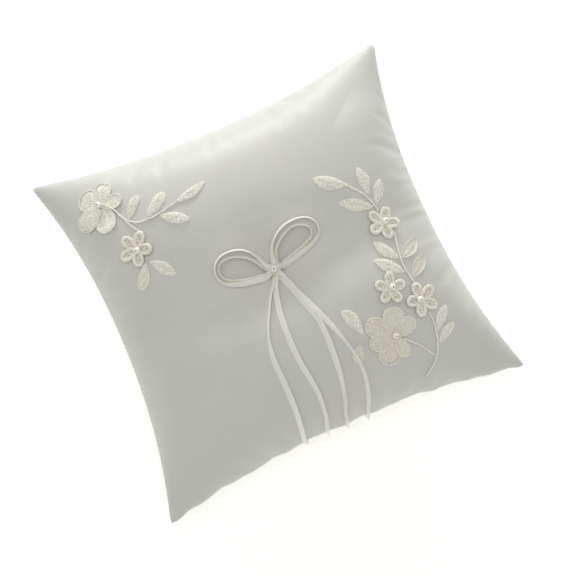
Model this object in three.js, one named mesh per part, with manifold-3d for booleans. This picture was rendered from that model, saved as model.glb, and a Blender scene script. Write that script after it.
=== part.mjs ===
// Ring bearer pillow: a square satin cushion with a ribbon bow and two sprays of lace flowers.
// Millimetres, +Z up. The origin is the middle of the flat underside. The bow's tails run to -Y.

import * as THREE from 'three';
import { mergeVertices } from 'three/addons/utils/BufferGeometryUtils.js';
import Module from 'manifold-3d';

const wasm = await Module();
wasm.setup();

// ---------- cushion ----------
const WIDTH = 200; // X, corner to corner
const DEPTH = 191; // Y, corner to corner
const SEAM_HEIGHT = 23;
const CROWN_RISE = 36; // top of the crown above the seam
const CROWN_POWER = 0.62; // below 1 the crown is full near the edges
const PULL_X = 13.5; // how far the middle of the left and right sides is drawn in
const PULL_Y = 11; // how far the middle of the front and back sides is drawn in
const PULL_POWER = 2.2;
const BASE_FULLNESS = 1.5; // above 1 the underside has a flat middle
const HOLLOW_DEPTH = 5; // the bow's tack thread draws the crown in
const HOLLOW_LENGTH = 55;
const HOLLOW_WIDTH = 20;
const FABRIC = 0.5;
const FRONT_CELLS = 20;
const BACK_CELLS = 20;

// ---------- clearances ----------
const GAP = 0.3; // between pieces that touch
const REST_GAP = 0.45; // below what lies on the faceted crown

// ---------- filling and threads ----------
const FILLING_EDGE_INSET = 5.5;
const FILLING_FACE_INSET = 2.4;
const FILLING_EDGE_HALF = 0.5;
const THREAD_RADIUS = 0.3;
const THREAD_INSET = 2;
const OPENING_LENGTH = 80; // the gap in the machine seam, sewn by hand
const STITCH_PITCH = 5;
const STITCH_RISE = 0.7;
const TACK_RADIUS = 0.4;
const TACK_HOLE_RADIUS = 1;
const TACK_TAIL = 1.1; // what shows of the tack thread inside the cover

// ---------- ribbon ----------
const RIBBON_WIDTH = 3;
const RIBBON_THICKNESS = 0.5;
const KNOT_HALF = [2.4, 2.2, 1.4];
const LOOP_STEPS = 22;
const TAIL_STEPS = 24;
const TAIL_END_STEPS = 6;
const TAIL_FLOOR_GAP = 2;
const TAIL_HINGE_GAP = 0.45; // from a tail's hinge to the solids above and below it

// ---------- lace ----------
const LEAF_THICKNESS = 0.9;
const LEAF_END_SHARE = 0.2; // an end's width, as a share of the widest place
const STEM_WIDTH = 1.2;
const STEM_THICKNESS = 0.8;
const BLOOM_THICKNESS = 1.1;
const BLOSSOM_THICKNESS = 2.2;
const PEARL_RADIUS = 1.7;
const PEARL_BORE_RADIUS = 0.4;

const SATIN = { color: 0xe6e4dc, roughness: 0.45, metalness: 0 };
const RIBBON = { color: 0xf0eee6, roughness: 0.35, metalness: 0 };
const LACE = { color: 0xddd8c8, roughness: 0.75, metalness: 0 };
const PEARL = { color: 0xf1eadb, roughness: 0.2, metalness: 0 };
const THREAD = { color: 0xe8e5da, roughness: 0.6, metalness: 0 };
const FILLING = { color: 0xf4f4f2, roughness: 0.95, metalness: 0 };

const object = new THREE.Group();

function addPiece(name, geometry, finish) {
  const mesh = new THREE.Mesh(geometry, new THREE.MeshStandardMaterial(finish));
  mesh.name = name;
  object.add(mesh);
  return mesh;
}

// ---------- closed geometry ----------

// Shared corners are merged, and the faces are turned to point out.
function closed(geometry) {
  const copy = geometry.clone();
  copy.deleteAttribute('normal');
  copy.deleteAttribute('uv');
  const solid = mergeVertices(copy, 1e-5);
  const at = (i) => new THREE.Vector3().fromBufferAttribute(solid.attributes.position, i);
  const index = solid.index.array;
  let volume = 0;
  for (let i = 0; i < index.length; i += 3) {
    volume += at(index[i]).dot(at(index[i + 1]).cross(at(index[i + 2])));
  }
  if (volume < 0) {
    for (let i = 0; i < index.length; i += 3) {
      [index[i], index[i + 1]] = [index[i + 1], index[i]];
    }
  }
  solid.computeVertexNormals();
  return solid;
}

function reshape(geometry, move) {
  const position = geometry.attributes.position;
  for (let i = 0; i < position.count; i += 1) {
    const to = move(position.getX(i), position.getY(i), position.getZ(i));
    position.setXYZ(i, to.x, to.y, to.z);
  }
  return closed(geometry);
}

function toManifold(geometry) {
  return new wasm.Manifold(new wasm.Mesh({
    numProp: 3,
    vertProperties: geometry.attributes.position.array,
    triVerts: new Uint32Array(geometry.index.array),
  }));
}

function cut(geometry, tool) {
  const mesh = toManifold(geometry).subtract(toManifold(tool)).getMesh();
  const result = new THREE.BufferGeometry();
  result.setAttribute('position', new THREE.BufferAttribute(new Float32Array(mesh.vertProperties), 3));
  result.setIndex(new THREE.BufferAttribute(new Uint32Array(mesh.triVerts), 1));
  return closed(result);
}

// ---------- the cushion's surface ----------
// s and t run from -1 to 1 across the cushion, and reach 1 at the seam.

const bow = (share) => 1 - Math.abs(share) ** PULL_POWER;
const swell = (s, t) => Math.max(0, (1 - s * s) * (1 - t * t)) ** CROWN_POWER;

function planPoint(s, t, inset = 0) {
  const x = s * (WIDTH / 2 - inset - PULL_X * bow(t));
  const y = t * (DEPTH / 2 - inset - PULL_Y * bow(s));
  return [x, y];
}

function planShare(x, y) {
  let [s, t] = [x / (WIDTH / 2), y / (DEPTH / 2)];
  for (let i = 0; i < 16; i += 1) {
    [s, t] = [x / (WIDTH / 2 - PULL_X * bow(t)), y / (DEPTH / 2 - PULL_Y * bow(s))];
  }
  return [s, t];
}

const hollow = (x, y) => HOLLOW_DEPTH * Math.exp(-((x / HOLLOW_LENGTH) ** 2) - (y / HOLLOW_WIDTH) ** 2);

function crownPoint(s, t, edgeInset = 0, faceInset = edgeInset, edgeLift = GAP / 2) {
  const [x, y] = planPoint(s, t, edgeInset);
  const rise = (CROWN_RISE - faceInset - edgeLift) * swell(s, t);
  return new THREE.Vector3(x, y, SEAM_HEIGHT + edgeLift + rise - hollow(x, y) * swell(s, t));
}

function basePoint(s, t, edgeInset = 0, faceInset = edgeInset, edgeDrop = GAP / 2) {
  const [x, y] = planPoint(s, t, edgeInset);
  const drop = (SEAM_HEIGHT - faceInset - edgeDrop) * Math.min(1, BASE_FULLNESS * swell(s, t));
  return new THREE.Vector3(x, y, SEAM_HEIGHT - edgeDrop - drop);
}

// Grid lines crowd towards the seam, where the crown is steep.
const gridShare = (line, cells) => Math.sin((line / cells - 0.5) * Math.PI);

function gridCell(share, cells) {
  const line = (Math.asin(THREE.MathUtils.clamp(share, -1, 1)) / Math.PI + 0.5) * cells;
  const low = THREE.MathUtils.clamp(Math.floor(line), 0, cells - 1);
  const [from, to] = [gridShare(low, cells), gridShare(low + 1, cells)];
  return { from, to, part: (share - from) / (to - from) };
}

// The front panel as it is built, between its grid lines.
function panelPoint(s, t) {
  const column = gridCell(s, FRONT_CELLS);
  const row = gridCell(t, FRONT_CELLS);
  const near = crownPoint(column.from, row.from).lerp(crownPoint(column.to, row.from), column.part);
  const far = crownPoint(column.from, row.to).lerp(crownPoint(column.to, row.to), column.part);
  return near.lerp(far, row.part);
}

const panelHeight = (x, y) => panelPoint(...planShare(x, y)).z;

function panelNormal(s, t) {
  const step = 0.01;
  const alongS = crownPoint(Math.min(1, s + step), t).sub(crownPoint(s - step, t));
  const alongT = crownPoint(s, t + step).sub(crownPoint(s, Math.max(-1, t - step)));
  return alongS.cross(alongT).normalize();
}

// A slab between an upper and a lower surface, both given by s and t.
function pad(upper, lower, cells) {
  return reshape(new THREE.BoxGeometry(1, 1, 1, cells, cells, 1), (x, y, z) => {
    const s = gridShare((x + 0.5) * cells, cells);
    const t = gridShare((y + 0.5) * cells, cells);
    return z > 0 ? upper(s, t) : lower(s, t);
  });
}

// ---------- cover, filling and threads ----------

function frontPanel() {
  const sheet = pad((s, t) => crownPoint(s, t), (s, t) => crownPoint(s, t, FABRIC), FRONT_CELLS);
  const hole = new THREE.CylinderGeometry(TACK_HOLE_RADIUS, TACK_HOLE_RADIUS, CROWN_RISE, 10);
  hole.rotateX(Math.PI / 2).translate(0, 0, SEAM_HEIGHT + CROWN_RISE);
  return cut(sheet, closed(hole));
}

function backPanel() {
  return pad((s, t) => basePoint(s, t, FABRIC), (s, t) => basePoint(s, t), BACK_CELLS);
}

function filling() {
  const insets = [FILLING_EDGE_INSET, FILLING_FACE_INSET, FILLING_EDGE_HALF];
  return pad((s, t) => crownPoint(s, t, ...insets), (s, t) => basePoint(s, t, ...insets), FRONT_CELLS / 2);
}

// A thread just inside the seam, through stops of { s, t, rise }, where rise is its height over the seam.
function seamRod(stops) {
  const steps = stops.length - 1;
  const rod = new THREE.CylinderGeometry(THREAD_RADIUS, THREAD_RADIUS, 1, 5, steps);
  return reshape(rod, (x, y, z) => {
    const { s, t, rise } = stops[Math.round((y + 0.5) * steps)];
    const [planX, planY] = planPoint(s, t, THREAD_INSET + x);
    return new THREE.Vector3(planX, planY, SEAM_HEIGHT + rise + z);
  });
}

// The machine seam starts and ends at the hand-sewn opening in the middle of the front side.
function seamThread() {
  const share = OPENING_LENGTH / WIDTH;
  const stops = [];
  const run = (start, end, count) => {
    for (let i = 0; i < count; i += 1) {
      const part = i / count;
      const s = THREE.MathUtils.lerp(start[0], end[0], part);
      const t = THREE.MathUtils.lerp(start[1], end[1], part);
      stops.push({ s, t, rise: 0 });
    }
  };
  run([share, -1], [1, -1], 4);
  run([1, -1], [1, 1], 12);
  run([1, 1], [-1, 1], 12);
  run([-1, 1], [-1, -1], 12);
  run([-1, -1], [-share, -1], 4);
  stops.push({ s: -share, t: -1, rise: 0 });
  return seamRod(stops);
}

// Ladder stitches go from the back panel's edge to the front panel's and back.
function closureStitching() {
  const half = OPENING_LENGTH / 2 - STITCH_PITCH;
  const count = Math.round((2 * half) / STITCH_PITCH);
  const stops = [];
  for (let i = 0; i <= count; i += 1) {
    const x = THREE.MathUtils.lerp(-half, half, i / count);
    stops.push({ s: x / (WIDTH / 2), t: -1, rise: i % 2 ? STITCH_RISE : -STITCH_RISE });
  }
  return seamRod(stops);
}

addPiece('front_panel', frontPanel(), SATIN);
addPiece('back_panel', backPanel(), SATIN);
addPiece('filling', filling(), FILLING);
addPiece('seam_thread', seamThread(), THREAD);
addPiece('closure_stitching', closureStitching(), THREAD);

// ---------- pearls ----------

function pearlGeometry() {
  const start = Math.acos(PEARL_BORE_RADIUS / PEARL_RADIUS);
  const profile = [];
  for (let i = 0; i <= 6; i += 1) {
    const angle = -start + (2 * start * i) / 6;
    profile.push(new THREE.Vector2(PEARL_RADIUS * Math.cos(angle), PEARL_RADIUS * Math.sin(angle)));
  }
  profile.push(profile[0].clone());
  return closed(new THREE.LatheGeometry(profile, 8).rotateX(Math.PI / 2));
}

function addPearl(name, foot, normal) {
  const pearl = addPiece(name, pearlGeometry(), PEARL);
  pearl.position.copy(foot).addScaledVector(normal, GAP + PEARL_RADIUS);
  pearl.quaternion.setFromUnitVectors(new THREE.Vector3(0, 0, 1), normal);
}

// ---------- ribbon bow ----------

const CROWN_MIDDLE = panelHeight(0, 0);
const KNOT_MIDDLE = CROWN_MIDDLE + REST_GAP + KNOT_HALF[2];
const UP = new THREE.Vector3(0, 0, 1);

const knot = new THREE.SphereGeometry(1, 10, 6).scale(...KNOT_HALF).translate(0, 0, KNOT_MIDDLE);
addPiece('bow_knot', closed(knot), RIBBON);
addPearl('bow_pearl', new THREE.Vector3(0, 0, KNOT_MIDDLE + KNOT_HALF[2]), UP);

const tackTop = CROWN_MIDDLE + REST_GAP - GAP;
const tackBottom = CROWN_MIDDLE - FABRIC - TACK_TAIL;
const tack = new THREE.CylinderGeometry(TACK_RADIUS, TACK_RADIUS, tackTop - tackBottom, 8);
tack.rotateX(Math.PI / 2).translate(0, 0, (tackTop + tackBottom) / 2);
addPiece('bow_tack_thread', closed(tack), THREAD);

// A ribbon along a route of { point, normal, roll }: at roll 0 it lies flat, at 90 it stands on edge.
function ribbon(route, steps) {
  const path = new THREE.CatmullRomCurve3(route.map((stop) => stop.point), false, 'centripetal');
  const box = new THREE.BoxGeometry(1, RIBBON_WIDTH, RIBBON_THICKNESS, steps, 1, 1);
  return reshape(box, (x, across, up) => {
    const along = x + 0.5;
    const place = path.getUtoTmapping(along) * (route.length - 1);
    const stop = Math.min(Math.floor(place), route.length - 2);
    const part = place - stop;
    const tangent = path.getTangentAt(along);
    const normal = route[stop].normal.clone().lerp(route[stop + 1].normal, part);
    normal.addScaledVector(tangent, -normal.dot(tangent)).normalize();
    const side = new THREE.Vector3().crossVectors(normal, tangent);
    const roll = THREE.MathUtils.degToRad(
      THREE.MathUtils.lerp(route[stop].roll, route[stop + 1].roll, part),
    );
    const wide = side.clone().multiplyScalar(Math.cos(roll)).addScaledVector(normal, Math.sin(roll));
    const thick = new THREE.Vector3().crossVectors(tangent, wide);
    return path.getPointAt(along).addScaledVector(wide, across).addScaledVector(thick, up);
  });
}

// A ribbon's middle line keeps clear of the crown by its rolled half height.
function liftFor(roll) {
  const angle = THREE.MathUtils.degToRad(roll);
  const half = (RIBBON_WIDTH * Math.abs(Math.sin(angle)) + RIBBON_THICKNESS * Math.abs(Math.cos(angle))) / 2;
  return REST_GAP + half;
}

// Loops stand on edge on the far side and lean over on the near side. Stops are [x, y, roll].
const LOOPS = {
  left_loop_outer: [
    [-3.2, 3.6, 80], [-5.6, 9.2, 80], [-8.3, 13.2, 80], [-12.3, 15.9, 80], [-18.1, 16.8, 80],
    [-23.2, 15.9, 80], [-26.6, 12.9, 75], [-27.8, 8.3, 65], [-25.4, 3, 55], [-19.8, -0.4, 50],
    [-13, -2.2, 55], [-5.6, -2.8, 70],
  ],
  left_loop_inner: [
    [-3.9, 2, 80], [-6.4, 6.6, 80], [-9.8, 10.6, 80], [-14.6, 13.2, 80], [-20, 14.2, 80],
    [-23.6, 12.5, 75], [-25, 8.9, 65], [-23.2, 5.1, 55], [-18.1, 2.2, 50], [-11.5, 0.4, 55],
    [-5, -1, 70],
  ],
  right_loop_outer: [
    [0.9, 4.9, 80], [2.6, 10.8, 80], [8.6, 16.6, 80], [17.8, 18.6, 80], [25.2, 16.4, 75],
    [28.3, 11.4, 65], [27, 6.6, 55], [22, 2.4, 50], [13.2, -0.6, 55], [5.8, -1.6, 70],
  ],
  right_loop_inner: [
    [2.3, 4.2, 80], [4, 8.8, 80], [8.6, 13.2, 80], [15.2, 15.9, 80], [21, 14.7, 75],
    [24.3, 11.2, 65], [23.4, 7.6, 55], [19, 4.4, 50], [10.5, 1.3, 55], [5.1, 0, 70],
  ],
};

for (const [name, stops] of Object.entries(LOOPS)) {
  const route = stops.map(([x, y, roll]) => {
    const [s, t] = planShare(x, y);
    const normal = panelNormal(s, t);
    const point = new THREE.Vector3(x, y, panelHeight(x, y)).addScaledVector(normal, liftFor(roll));
    return { point, normal, roll };
  });
  addPiece(name, ribbon(route, LOOP_STEPS), RIBBON);
}

// Tails leave the knot on edge, turn flat, cross the crown and drop over the front side.
// Stops are [x, share of the way from the middle to the seam, roll].
const TAILS = {
  tail_1: [
    [-2.4, 0.052, 80], [-4.3, 0.085, 75], [-6.2, 0.12, 60], [-8.8, 0.165, 40], [-11.4, 0.215, 25],
    [-13.8, 0.265, 15], [-15.4, 0.315, 8], [-17.4, 0.42, 5], [-18, 0.54, 3], [-18.2, 0.68, 0],
    [-18.6, 0.8, 0], [-19.4, 0.9, 0], [-20.2, 0.96, 0], [-20.5, 0.985, 0], [-20.6, 1, 0],
  ],
  tail_2: [
    [-0.8, 0.055, 80], [-2.2, 0.085, 75], [-3.6, 0.12, 60], [-5, 0.165, 40], [-5.9, 0.215, 25],
    [-6.5, 0.265, 15], [-6.9, 0.315, 8], [-7.1, 0.42, 5], [-6.2, 0.54, 3], [-5, 0.68, 0],
    [-5.4, 0.8, 0], [-6.6, 0.9, 0], [-7.8, 0.96, 0], [-8.2, 0.985, 0], [-8.3, 1, 0],
  ],
  tail_3: [
    [0.8, 0.055, 80], [1.6, 0.085, 80], [2.5, 0.127, 78], [4.4, 0.199, 78], [6.6, 0.272, 76],
    [8, 0.32, 65], [8.9, 0.364, 40], [9.1, 0.43, 12], [9.1, 0.5, 6], [8.8, 0.57, 3],
    [8, 0.69, 0], [6.2, 0.81, 0], [4.2, 0.9, 0], [3, 0.96, 0], [2.6, 0.985, 0], [2.5, 1, 0],
  ],
  tail_4: [
    [2.4, 0.05, 80], [3.2, 0.085, 80], [4.3, 0.127, 78], [6.3, 0.199, 78], [8.9, 0.272, 76],
    [10.9, 0.32, 68], [12.2, 0.364, 55], [13.9, 0.43, 30], [16, 0.5, 10], [17.6, 0.577, 3],
    [18.6, 0.65, 0], [18.9, 0.71, 0], [18.2, 0.8, 0], [16.3, 0.89, 0], [15.1, 0.95, 0],
    [14.6, 0.985, 0], [14.4, 1, 0],
  ],
};

for (const [name, stops] of Object.entries(TAILS)) {
  const route = stops.map(([x, share, roll]) => {
    const s = x / (WIDTH / 2 - PULL_X * bow(share));
    const normal = panelNormal(s, -share);
    const point = panelPoint(s, -share).addScaledVector(normal, liftFor(roll));
    return { point, normal, roll };
  });
  addPiece(name, ribbon(route, TAIL_STEPS), RIBBON);

  const edge = route[route.length - 1];
  const outward = new THREE.Vector3(edge.normal.x, edge.normal.y, 0).normalize();
  const top = edge.point.clone().setZ(edge.point.z - 2 * TAIL_HINGE_GAP);
  const bottom = top.clone().setZ(TAIL_FLOOR_GAP);
  const drop = [top, bottom].map((point) => ({ point, normal: outward, roll: 0 }));
  addPiece(`${name}_end`, ribbon(drop, TAIL_END_STEPS), RIBBON);
}

// ---------- lace ----------

// Lace is drawn flat, x and y in place and z from its underside, and then laid on the crown.
function drape(geometry) {
  return reshape(geometry, (x, y, z) => new THREE.Vector3(x, y, panelHeight(x, y) + REST_GAP + z));
}

function leaf([baseX, baseY], [tipX, tipY], width) {
  const length = Math.hypot(tipX - baseX, tipY - baseY);
  const turn = Math.atan2(tipY - baseY, tipX - baseX);
  const box = new THREE.BoxGeometry(1, 1, 1, 6, 2, 1);
  return drape(reshape(box, (x, y, z) => {
    const along = x + 0.5;
    const spread = LEAF_END_SHARE + (1 - LEAF_END_SHARE) * Math.sin(Math.PI * along ** 0.85);
    const thin = 1 - 0.5 * Math.abs(2 * y);
    const up = z > 0 ? LEAF_THICKNESS * thin : 0;
    const [l, w] = [along * length, y * width * spread];
    return new THREE.Vector3(
      baseX + l * Math.cos(turn) - w * Math.sin(turn),
      baseY + l * Math.sin(turn) + w * Math.cos(turn),
      up,
    );
  }));
}

function stem(points) {
  const path = new THREE.CatmullRomCurve3(points.map(([x, y]) => new THREE.Vector3(x, y, 0)));
  const steps = 3 * (points.length - 1);
  const box = new THREE.BoxGeometry(1, STEM_WIDTH, STEM_THICKNESS, steps, 1, 1);
  return drape(reshape(box, (x, y, z) => {
    const place = path.getPointAt(x + 0.5);
    const tangent = path.getTangentAt(x + 0.5);
    return new THREE.Vector3(
      place.x - tangent.y * y,
      place.y + tangent.x * y,
      z + STEM_THICKNESS / 2,
    );
  }));
}

// A flower's outline at an angle: the petal that reaches furthest there, or its small heart.
function flowerReach(petals, heart, angle) {
  let reach = heart;
  for (const petal of petals) {
    const off = Math.atan2(Math.sin(angle - petal.angle), Math.cos(angle - petal.angle));
    const share = Math.abs(off) / petal.halfAngle;
    if (share < 1) {
      reach = Math.max(reach, petal.length * Math.sqrt(1 - share ** 2.4));
    }
  }
  return reach;
}

function flower([x, y], petals, heart, thickness, segments) {
  const rings = [[0, 0], [0.5, 0], [1, 0], [1, 0.55], [0.75, 1], [0.35, 0.6], [0, 0.6]];
  const profile = rings.map(([radius, height]) => new THREE.Vector2(radius, height * thickness));
  const disc = new THREE.LatheGeometry(profile, segments).rotateX(Math.PI / 2);
  return drape(reshape(disc, (px, py, pz) => {
    const reach = flowerReach(petals, heart, Math.atan2(py, px));
    return new THREE.Vector3(x + px * reach, y + py * reach, pz);
  }));
}

function addFlower(name, middle, petals, heart, thickness, segments) {
  addPiece(name, flower(middle, petals, heart, thickness, segments), LACE);
  const [x, y] = middle;
  const normal = panelNormal(...planShare(x, y));
  const heartTop = panelHeight(x, y) + REST_GAP + 0.6 * thickness;
  addPearl(`${name}_pearl`, new THREE.Vector3(x, y, heartTop), normal);
}

const degrees = THREE.MathUtils.degToRad;

// A small raised flower has five even petals.
function addSmallFlower(name, middle, radius, firstAngle) {
  const petals = [0, 1, 2, 3, 4].map((i) => ({
    angle: degrees(firstAngle + 72 * i), length: radius, halfAngle: degrees(35),
  }));
  addFlower(name, middle, petals, 0.4 * radius, BLOSSOM_THICKNESS, 20);
}

// A large flat flower lists each petal as [direction, length, half its angle], in degrees and mm.
function addLargeFlower(name, middle, petalList) {
  const petals = petalList.map(([angle, length, halfAngle]) => ({
    angle: degrees(angle), length, halfAngle: degrees(halfAngle),
  }));
  addFlower(name, middle, petals, 3, BLOOM_THICKNESS, 36);
}

// Each spray is set out from a place measured in from the nearest corner.
const LEFT_SPRAY = [-WIDTH / 2 + 31, DEPTH / 2 - 27];
const RIGHT_SPRAY = [WIDTH / 2 - 40, -DEPTH / 2 + 53];
const from = ([x, y]) => ([dx, dy]) => [x + dx, y + dy];

const left = from(LEFT_SPRAY);
addLargeFlower('left_large_flower', left([0, 0]), [
  [132, 11.6, 34], [52, 11.6, 34], [-14, 12, 22], [-84, 16, 20], [-146, 14.6, 27],
]);
addSmallFlower('left_small_flower', left([9.6, -31.5]), 7.9, 45);
addPiece('left_main_stem', stem([
  [6.6, -7.2], [8.6, -10.2], [11.3, -15.2], [16.3, -19], [21.8, -19.9], [27.5, -19.9], [32.7, -19.1],
  [37.3, -18.1],
].map(left)), LACE);
addPiece('left_branch_stem', stem([[12.2, -18.4], [13.9, -20.8], [16.6, -24.3]].map(left)), LACE);

const LEFT_LEAVES = [
  [[13.8, -14.3], [21.2, -5.9], 5.5],
  [[23.2, -18], [33.9, -10.5], 6.5],
  [[38.6, -17.8], [53.8, -14.4], 5],
  [[28.6, -21.4], [40.3, -29.2], 5.7],
  [[11.6, -40], [5.2, -49.8], 6.5],
  [[15.6, -40.2], [23.6, -50.4], 6],
];
LEFT_LEAVES.forEach(([base, tip, width], i) => {
  addPiece(`left_leaf_${i + 1}`, leaf(left(base), left(tip), width), LACE);
});

const right = from(RIGHT_SPRAY);
addLargeFlower('right_large_flower', right([-17.9, -11.7]), [
  [77, 13.3, 30], [24, 11.5, 22], [133, 15.6, 24], [176, 13.6, 17], [-134, 13.8, 32], [-84, 9.3, 16],
]);
addSmallFlower('right_upper_flower', right([0.4, 42.1]), 7.2, 53);
addSmallFlower('right_middle_flower', right([-12.2, 10.8]), 7.2, 70);
addSmallFlower('right_lower_flower', right([1, 0]), 7.6, 24);
addPiece('right_upper_stem', stem([
  [-9.6, 64.8], [-6.7, 61.5], [-3.7, 57.8], [-1.2, 52.2], [-0.5, 49.6],
].map(right)), LACE);
addPiece('right_middle_stem', stem([
  [2, 34.6], [-0.1, 25.4], [-0.9, 17.9], [0.1, 12.3], [0.7, 8.4],
].map(right)), LACE);
addPiece('right_lower_stem', stem([
  [1.8, -8.2], [2, -11.6], [1.6, -16.6], [0.1, -22], [-2.9, -27.6], [-6.8, -32], [-10.7, -35.5],
].map(right)), LACE);
addPiece('right_branch_stem', stem([
  [-13.2, -14.8], [-10.2, -17.5], [-6.9, -21.9], [-4.6, -25.6],
].map(right)), LACE);

const RIGHT_LEAVES = [
  [[-10.9, 66], [-24.2, 74.1], 7.2],
  [[-2.8, 51.8], [-17.2, 59], 6.8],
  [[-1.6, 58.8], [-1.3, 71.9], 6],
  [[1, 53], [7.5, 63], 5.5],
  [[-1.9, 23.8], [-9.3, 35.6], 6],
  [[-2.4, 16.7], [-13.1, 26.6], 6.3],
  [[1, 23], [11.9, 29.2], 6.6],
  [[1.8, 12.8], [11.6, 19.9], 6.2],
  [[3.4, -15.4], [12, -6.8], 5.2],
  [[2.4, -21.6], [12.4, -16], 5.2],
  [[-32.8, -2.2], [-37.4, 10.6], 6.2],
  [[-33.4, -10], [-38, -16.2], 5.4],
];
RIGHT_LEAVES.forEach(([base, tip, width], i) => {
  addPiece(`right_leaf_${i + 1}`, leaf(right(base), right(tip), width), LACE);
});

export default object;
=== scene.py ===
"""Looks of the ring bearer pillow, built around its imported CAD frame.

Lengths are in millimetres until a mesh is made, and in metres for the camera, floor and lights.
+Z is up, and the ribbon tails run to -Y. s and t are shares of the way from the middle to a seam.
"""

import math

import bpy
import numpy as np
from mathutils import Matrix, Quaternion, Vector


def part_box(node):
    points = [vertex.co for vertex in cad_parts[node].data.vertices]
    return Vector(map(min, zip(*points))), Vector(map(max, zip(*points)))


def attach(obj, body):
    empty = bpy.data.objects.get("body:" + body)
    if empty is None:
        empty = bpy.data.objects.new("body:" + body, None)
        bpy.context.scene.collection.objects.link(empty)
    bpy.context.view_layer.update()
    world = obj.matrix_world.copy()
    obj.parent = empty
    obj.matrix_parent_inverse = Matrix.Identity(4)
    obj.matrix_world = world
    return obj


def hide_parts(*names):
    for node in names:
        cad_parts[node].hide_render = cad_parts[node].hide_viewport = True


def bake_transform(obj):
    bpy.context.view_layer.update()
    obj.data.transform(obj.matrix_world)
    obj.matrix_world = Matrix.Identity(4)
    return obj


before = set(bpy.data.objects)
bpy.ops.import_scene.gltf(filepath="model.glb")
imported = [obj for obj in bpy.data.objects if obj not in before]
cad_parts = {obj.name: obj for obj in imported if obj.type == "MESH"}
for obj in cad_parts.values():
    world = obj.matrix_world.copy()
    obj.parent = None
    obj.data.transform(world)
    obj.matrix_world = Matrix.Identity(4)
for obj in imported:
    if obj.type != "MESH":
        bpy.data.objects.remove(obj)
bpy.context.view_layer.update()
MM = 0.001


def add_object(name, data):
    made = bpy.data.objects.new(name, data)
    bpy.context.scene.collection.objects.link(made)
    return made


def point_at(thing, place, way):
    """Puts a camera or a light at a place and turns it to look a given way."""
    thing.location = place
    thing.rotation_mode = "QUATERNION"
    thing.rotation_quaternion = way.to_track_quat("-Z", "Y")


# ---------- camera ----------
CAMERA_AIM = Vector((2.3, -10.9, 50.0)) * MM
CAMERA_DISTANCE = 391.9 * MM
CAMERA_AZIMUTH = math.radians(-25.45)
CAMERA_ELEVATION = math.radians(84.1)
CAMERA_ROLL = math.radians(1.65)
CAMERA_LENS, CAMERA_SENSOR = 50.0, 36.0
CAMERA_CLIP = (0.01, 20.0)

back = Vector((
    math.sin(CAMERA_AZIMUTH) * math.cos(CAMERA_ELEVATION),
    -math.cos(CAMERA_AZIMUTH) * math.cos(CAMERA_ELEVATION),
    math.sin(CAMERA_ELEVATION),
))
camera = add_object("camera", bpy.data.cameras.new("camera"))
camera.data.lens, camera.data.sensor_width = CAMERA_LENS, CAMERA_SENSOR
camera.data.clip_start, camera.data.clip_end = CAMERA_CLIP
point_at(camera, CAMERA_AIM + back * CAMERA_DISTANCE, -back)
camera.rotation_quaternion = camera.rotation_quaternion @ Quaternion((0, 0, 1), CAMERA_ROLL)
bpy.context.scene.camera = camera

# ---------- the cushion's surface, as the CAD has it ----------
WIDTH, DEPTH = 200.0, 191.0
SEAM_HEIGHT = 23.0
CROWN_RISE = 36.0
CROWN_POWER = 0.62
PULL_X, PULL_Y, PULL_POWER = 13.5, 11.0, 2.2
BASE_FULLNESS = 1.5  # how far out the flat underside reaches
BASE_SOFTNESS = 0.02
HOLLOW_DEPTH, HOLLOW_LENGTH, HOLLOW_WIDTH = 5.0, 55.0, 20.0
SEAM_HALF_GAP = 0.15
FABRIC = 0.5
SHARE_PASSES = 16
GRID_CROWDING = 0.6  # how much the grid lines crowd towards the seam


def bow(share):
    """How much of the draw-in a side has at a share of its length."""
    return 1 - np.abs(share) ** PULL_POWER


def swell(s, t):
    """How full the cushion is, from 1 in the middle to 0 at its seam."""
    return np.maximum(0, (1 - s * s) * (1 - t * t)) ** CROWN_POWER


def plan_point(s, t, inset=0.0):
    """x and y of a place on the cushion."""
    x = s * (WIDTH / 2 - inset - PULL_X * bow(t))
    y = t * (DEPTH / 2 - inset - PULL_Y * bow(s))
    return x, y


def plan_share(x, y):
    """s and t of a place on the cushion: plan_point the other way round."""
    x, y = np.asarray(x, float), np.asarray(y, float)
    s, t = x / (WIDTH / 2), y / (DEPTH / 2)
    for _ in range(SHARE_PASSES):
        s, t = (
            x / (WIDTH / 2 - PULL_X * bow(np.clip(t, -1, 1))),
            y / (DEPTH / 2 - PULL_Y * bow(np.clip(s, -1, 1))),
        )
    return np.clip(s, -1, 1), np.clip(t, -1, 1)


def hollow(x, y):
    """How far the tack thread draws the front panel down."""
    return HOLLOW_DEPTH * np.exp(-((x / HOLLOW_LENGTH) ** 2) - (y / HOLLOW_WIDTH) ** 2)


def crown(s, t, inset=0.0):
    """The front panel's surface."""
    x, y = plan_point(s, t, inset)
    full = swell(s, t)
    rise = (CROWN_RISE - inset - SEAM_HALF_GAP) * full - hollow(x, y) * full
    return np.stack([x, y, SEAM_HEIGHT + SEAM_HALF_GAP + rise], -1)


def base(s, t, inset=0.0):
    """The back panel's surface, which is flat where it rests."""
    x, y = plan_point(s, t, inset)

    def flattened(full):
        return (1 + full - np.sqrt((1 - full) ** 2 + BASE_SOFTNESS)) / 2

    share = flattened(BASE_FULLNESS * swell(s, t)) - flattened(0.0)
    share = share / (flattened(BASE_FULLNESS) - flattened(0.0))
    drop = (SEAM_HEIGHT - inset - SEAM_HALF_GAP) * share
    return np.stack([x, y, SEAM_HEIGHT - SEAM_HALF_GAP - drop], -1)


def grid_lines(cells):
    """Shares from -1 to 1 that crowd a little towards the seam."""
    even = np.linspace(-1, 1, cells + 1)
    return (1 - GRID_CROWDING) * even + GRID_CROWDING * np.sin(even * math.pi / 2)


def panel_uv(lines):
    return (uv_grid(lines, lines[:, None]) + 1) / 2


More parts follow.
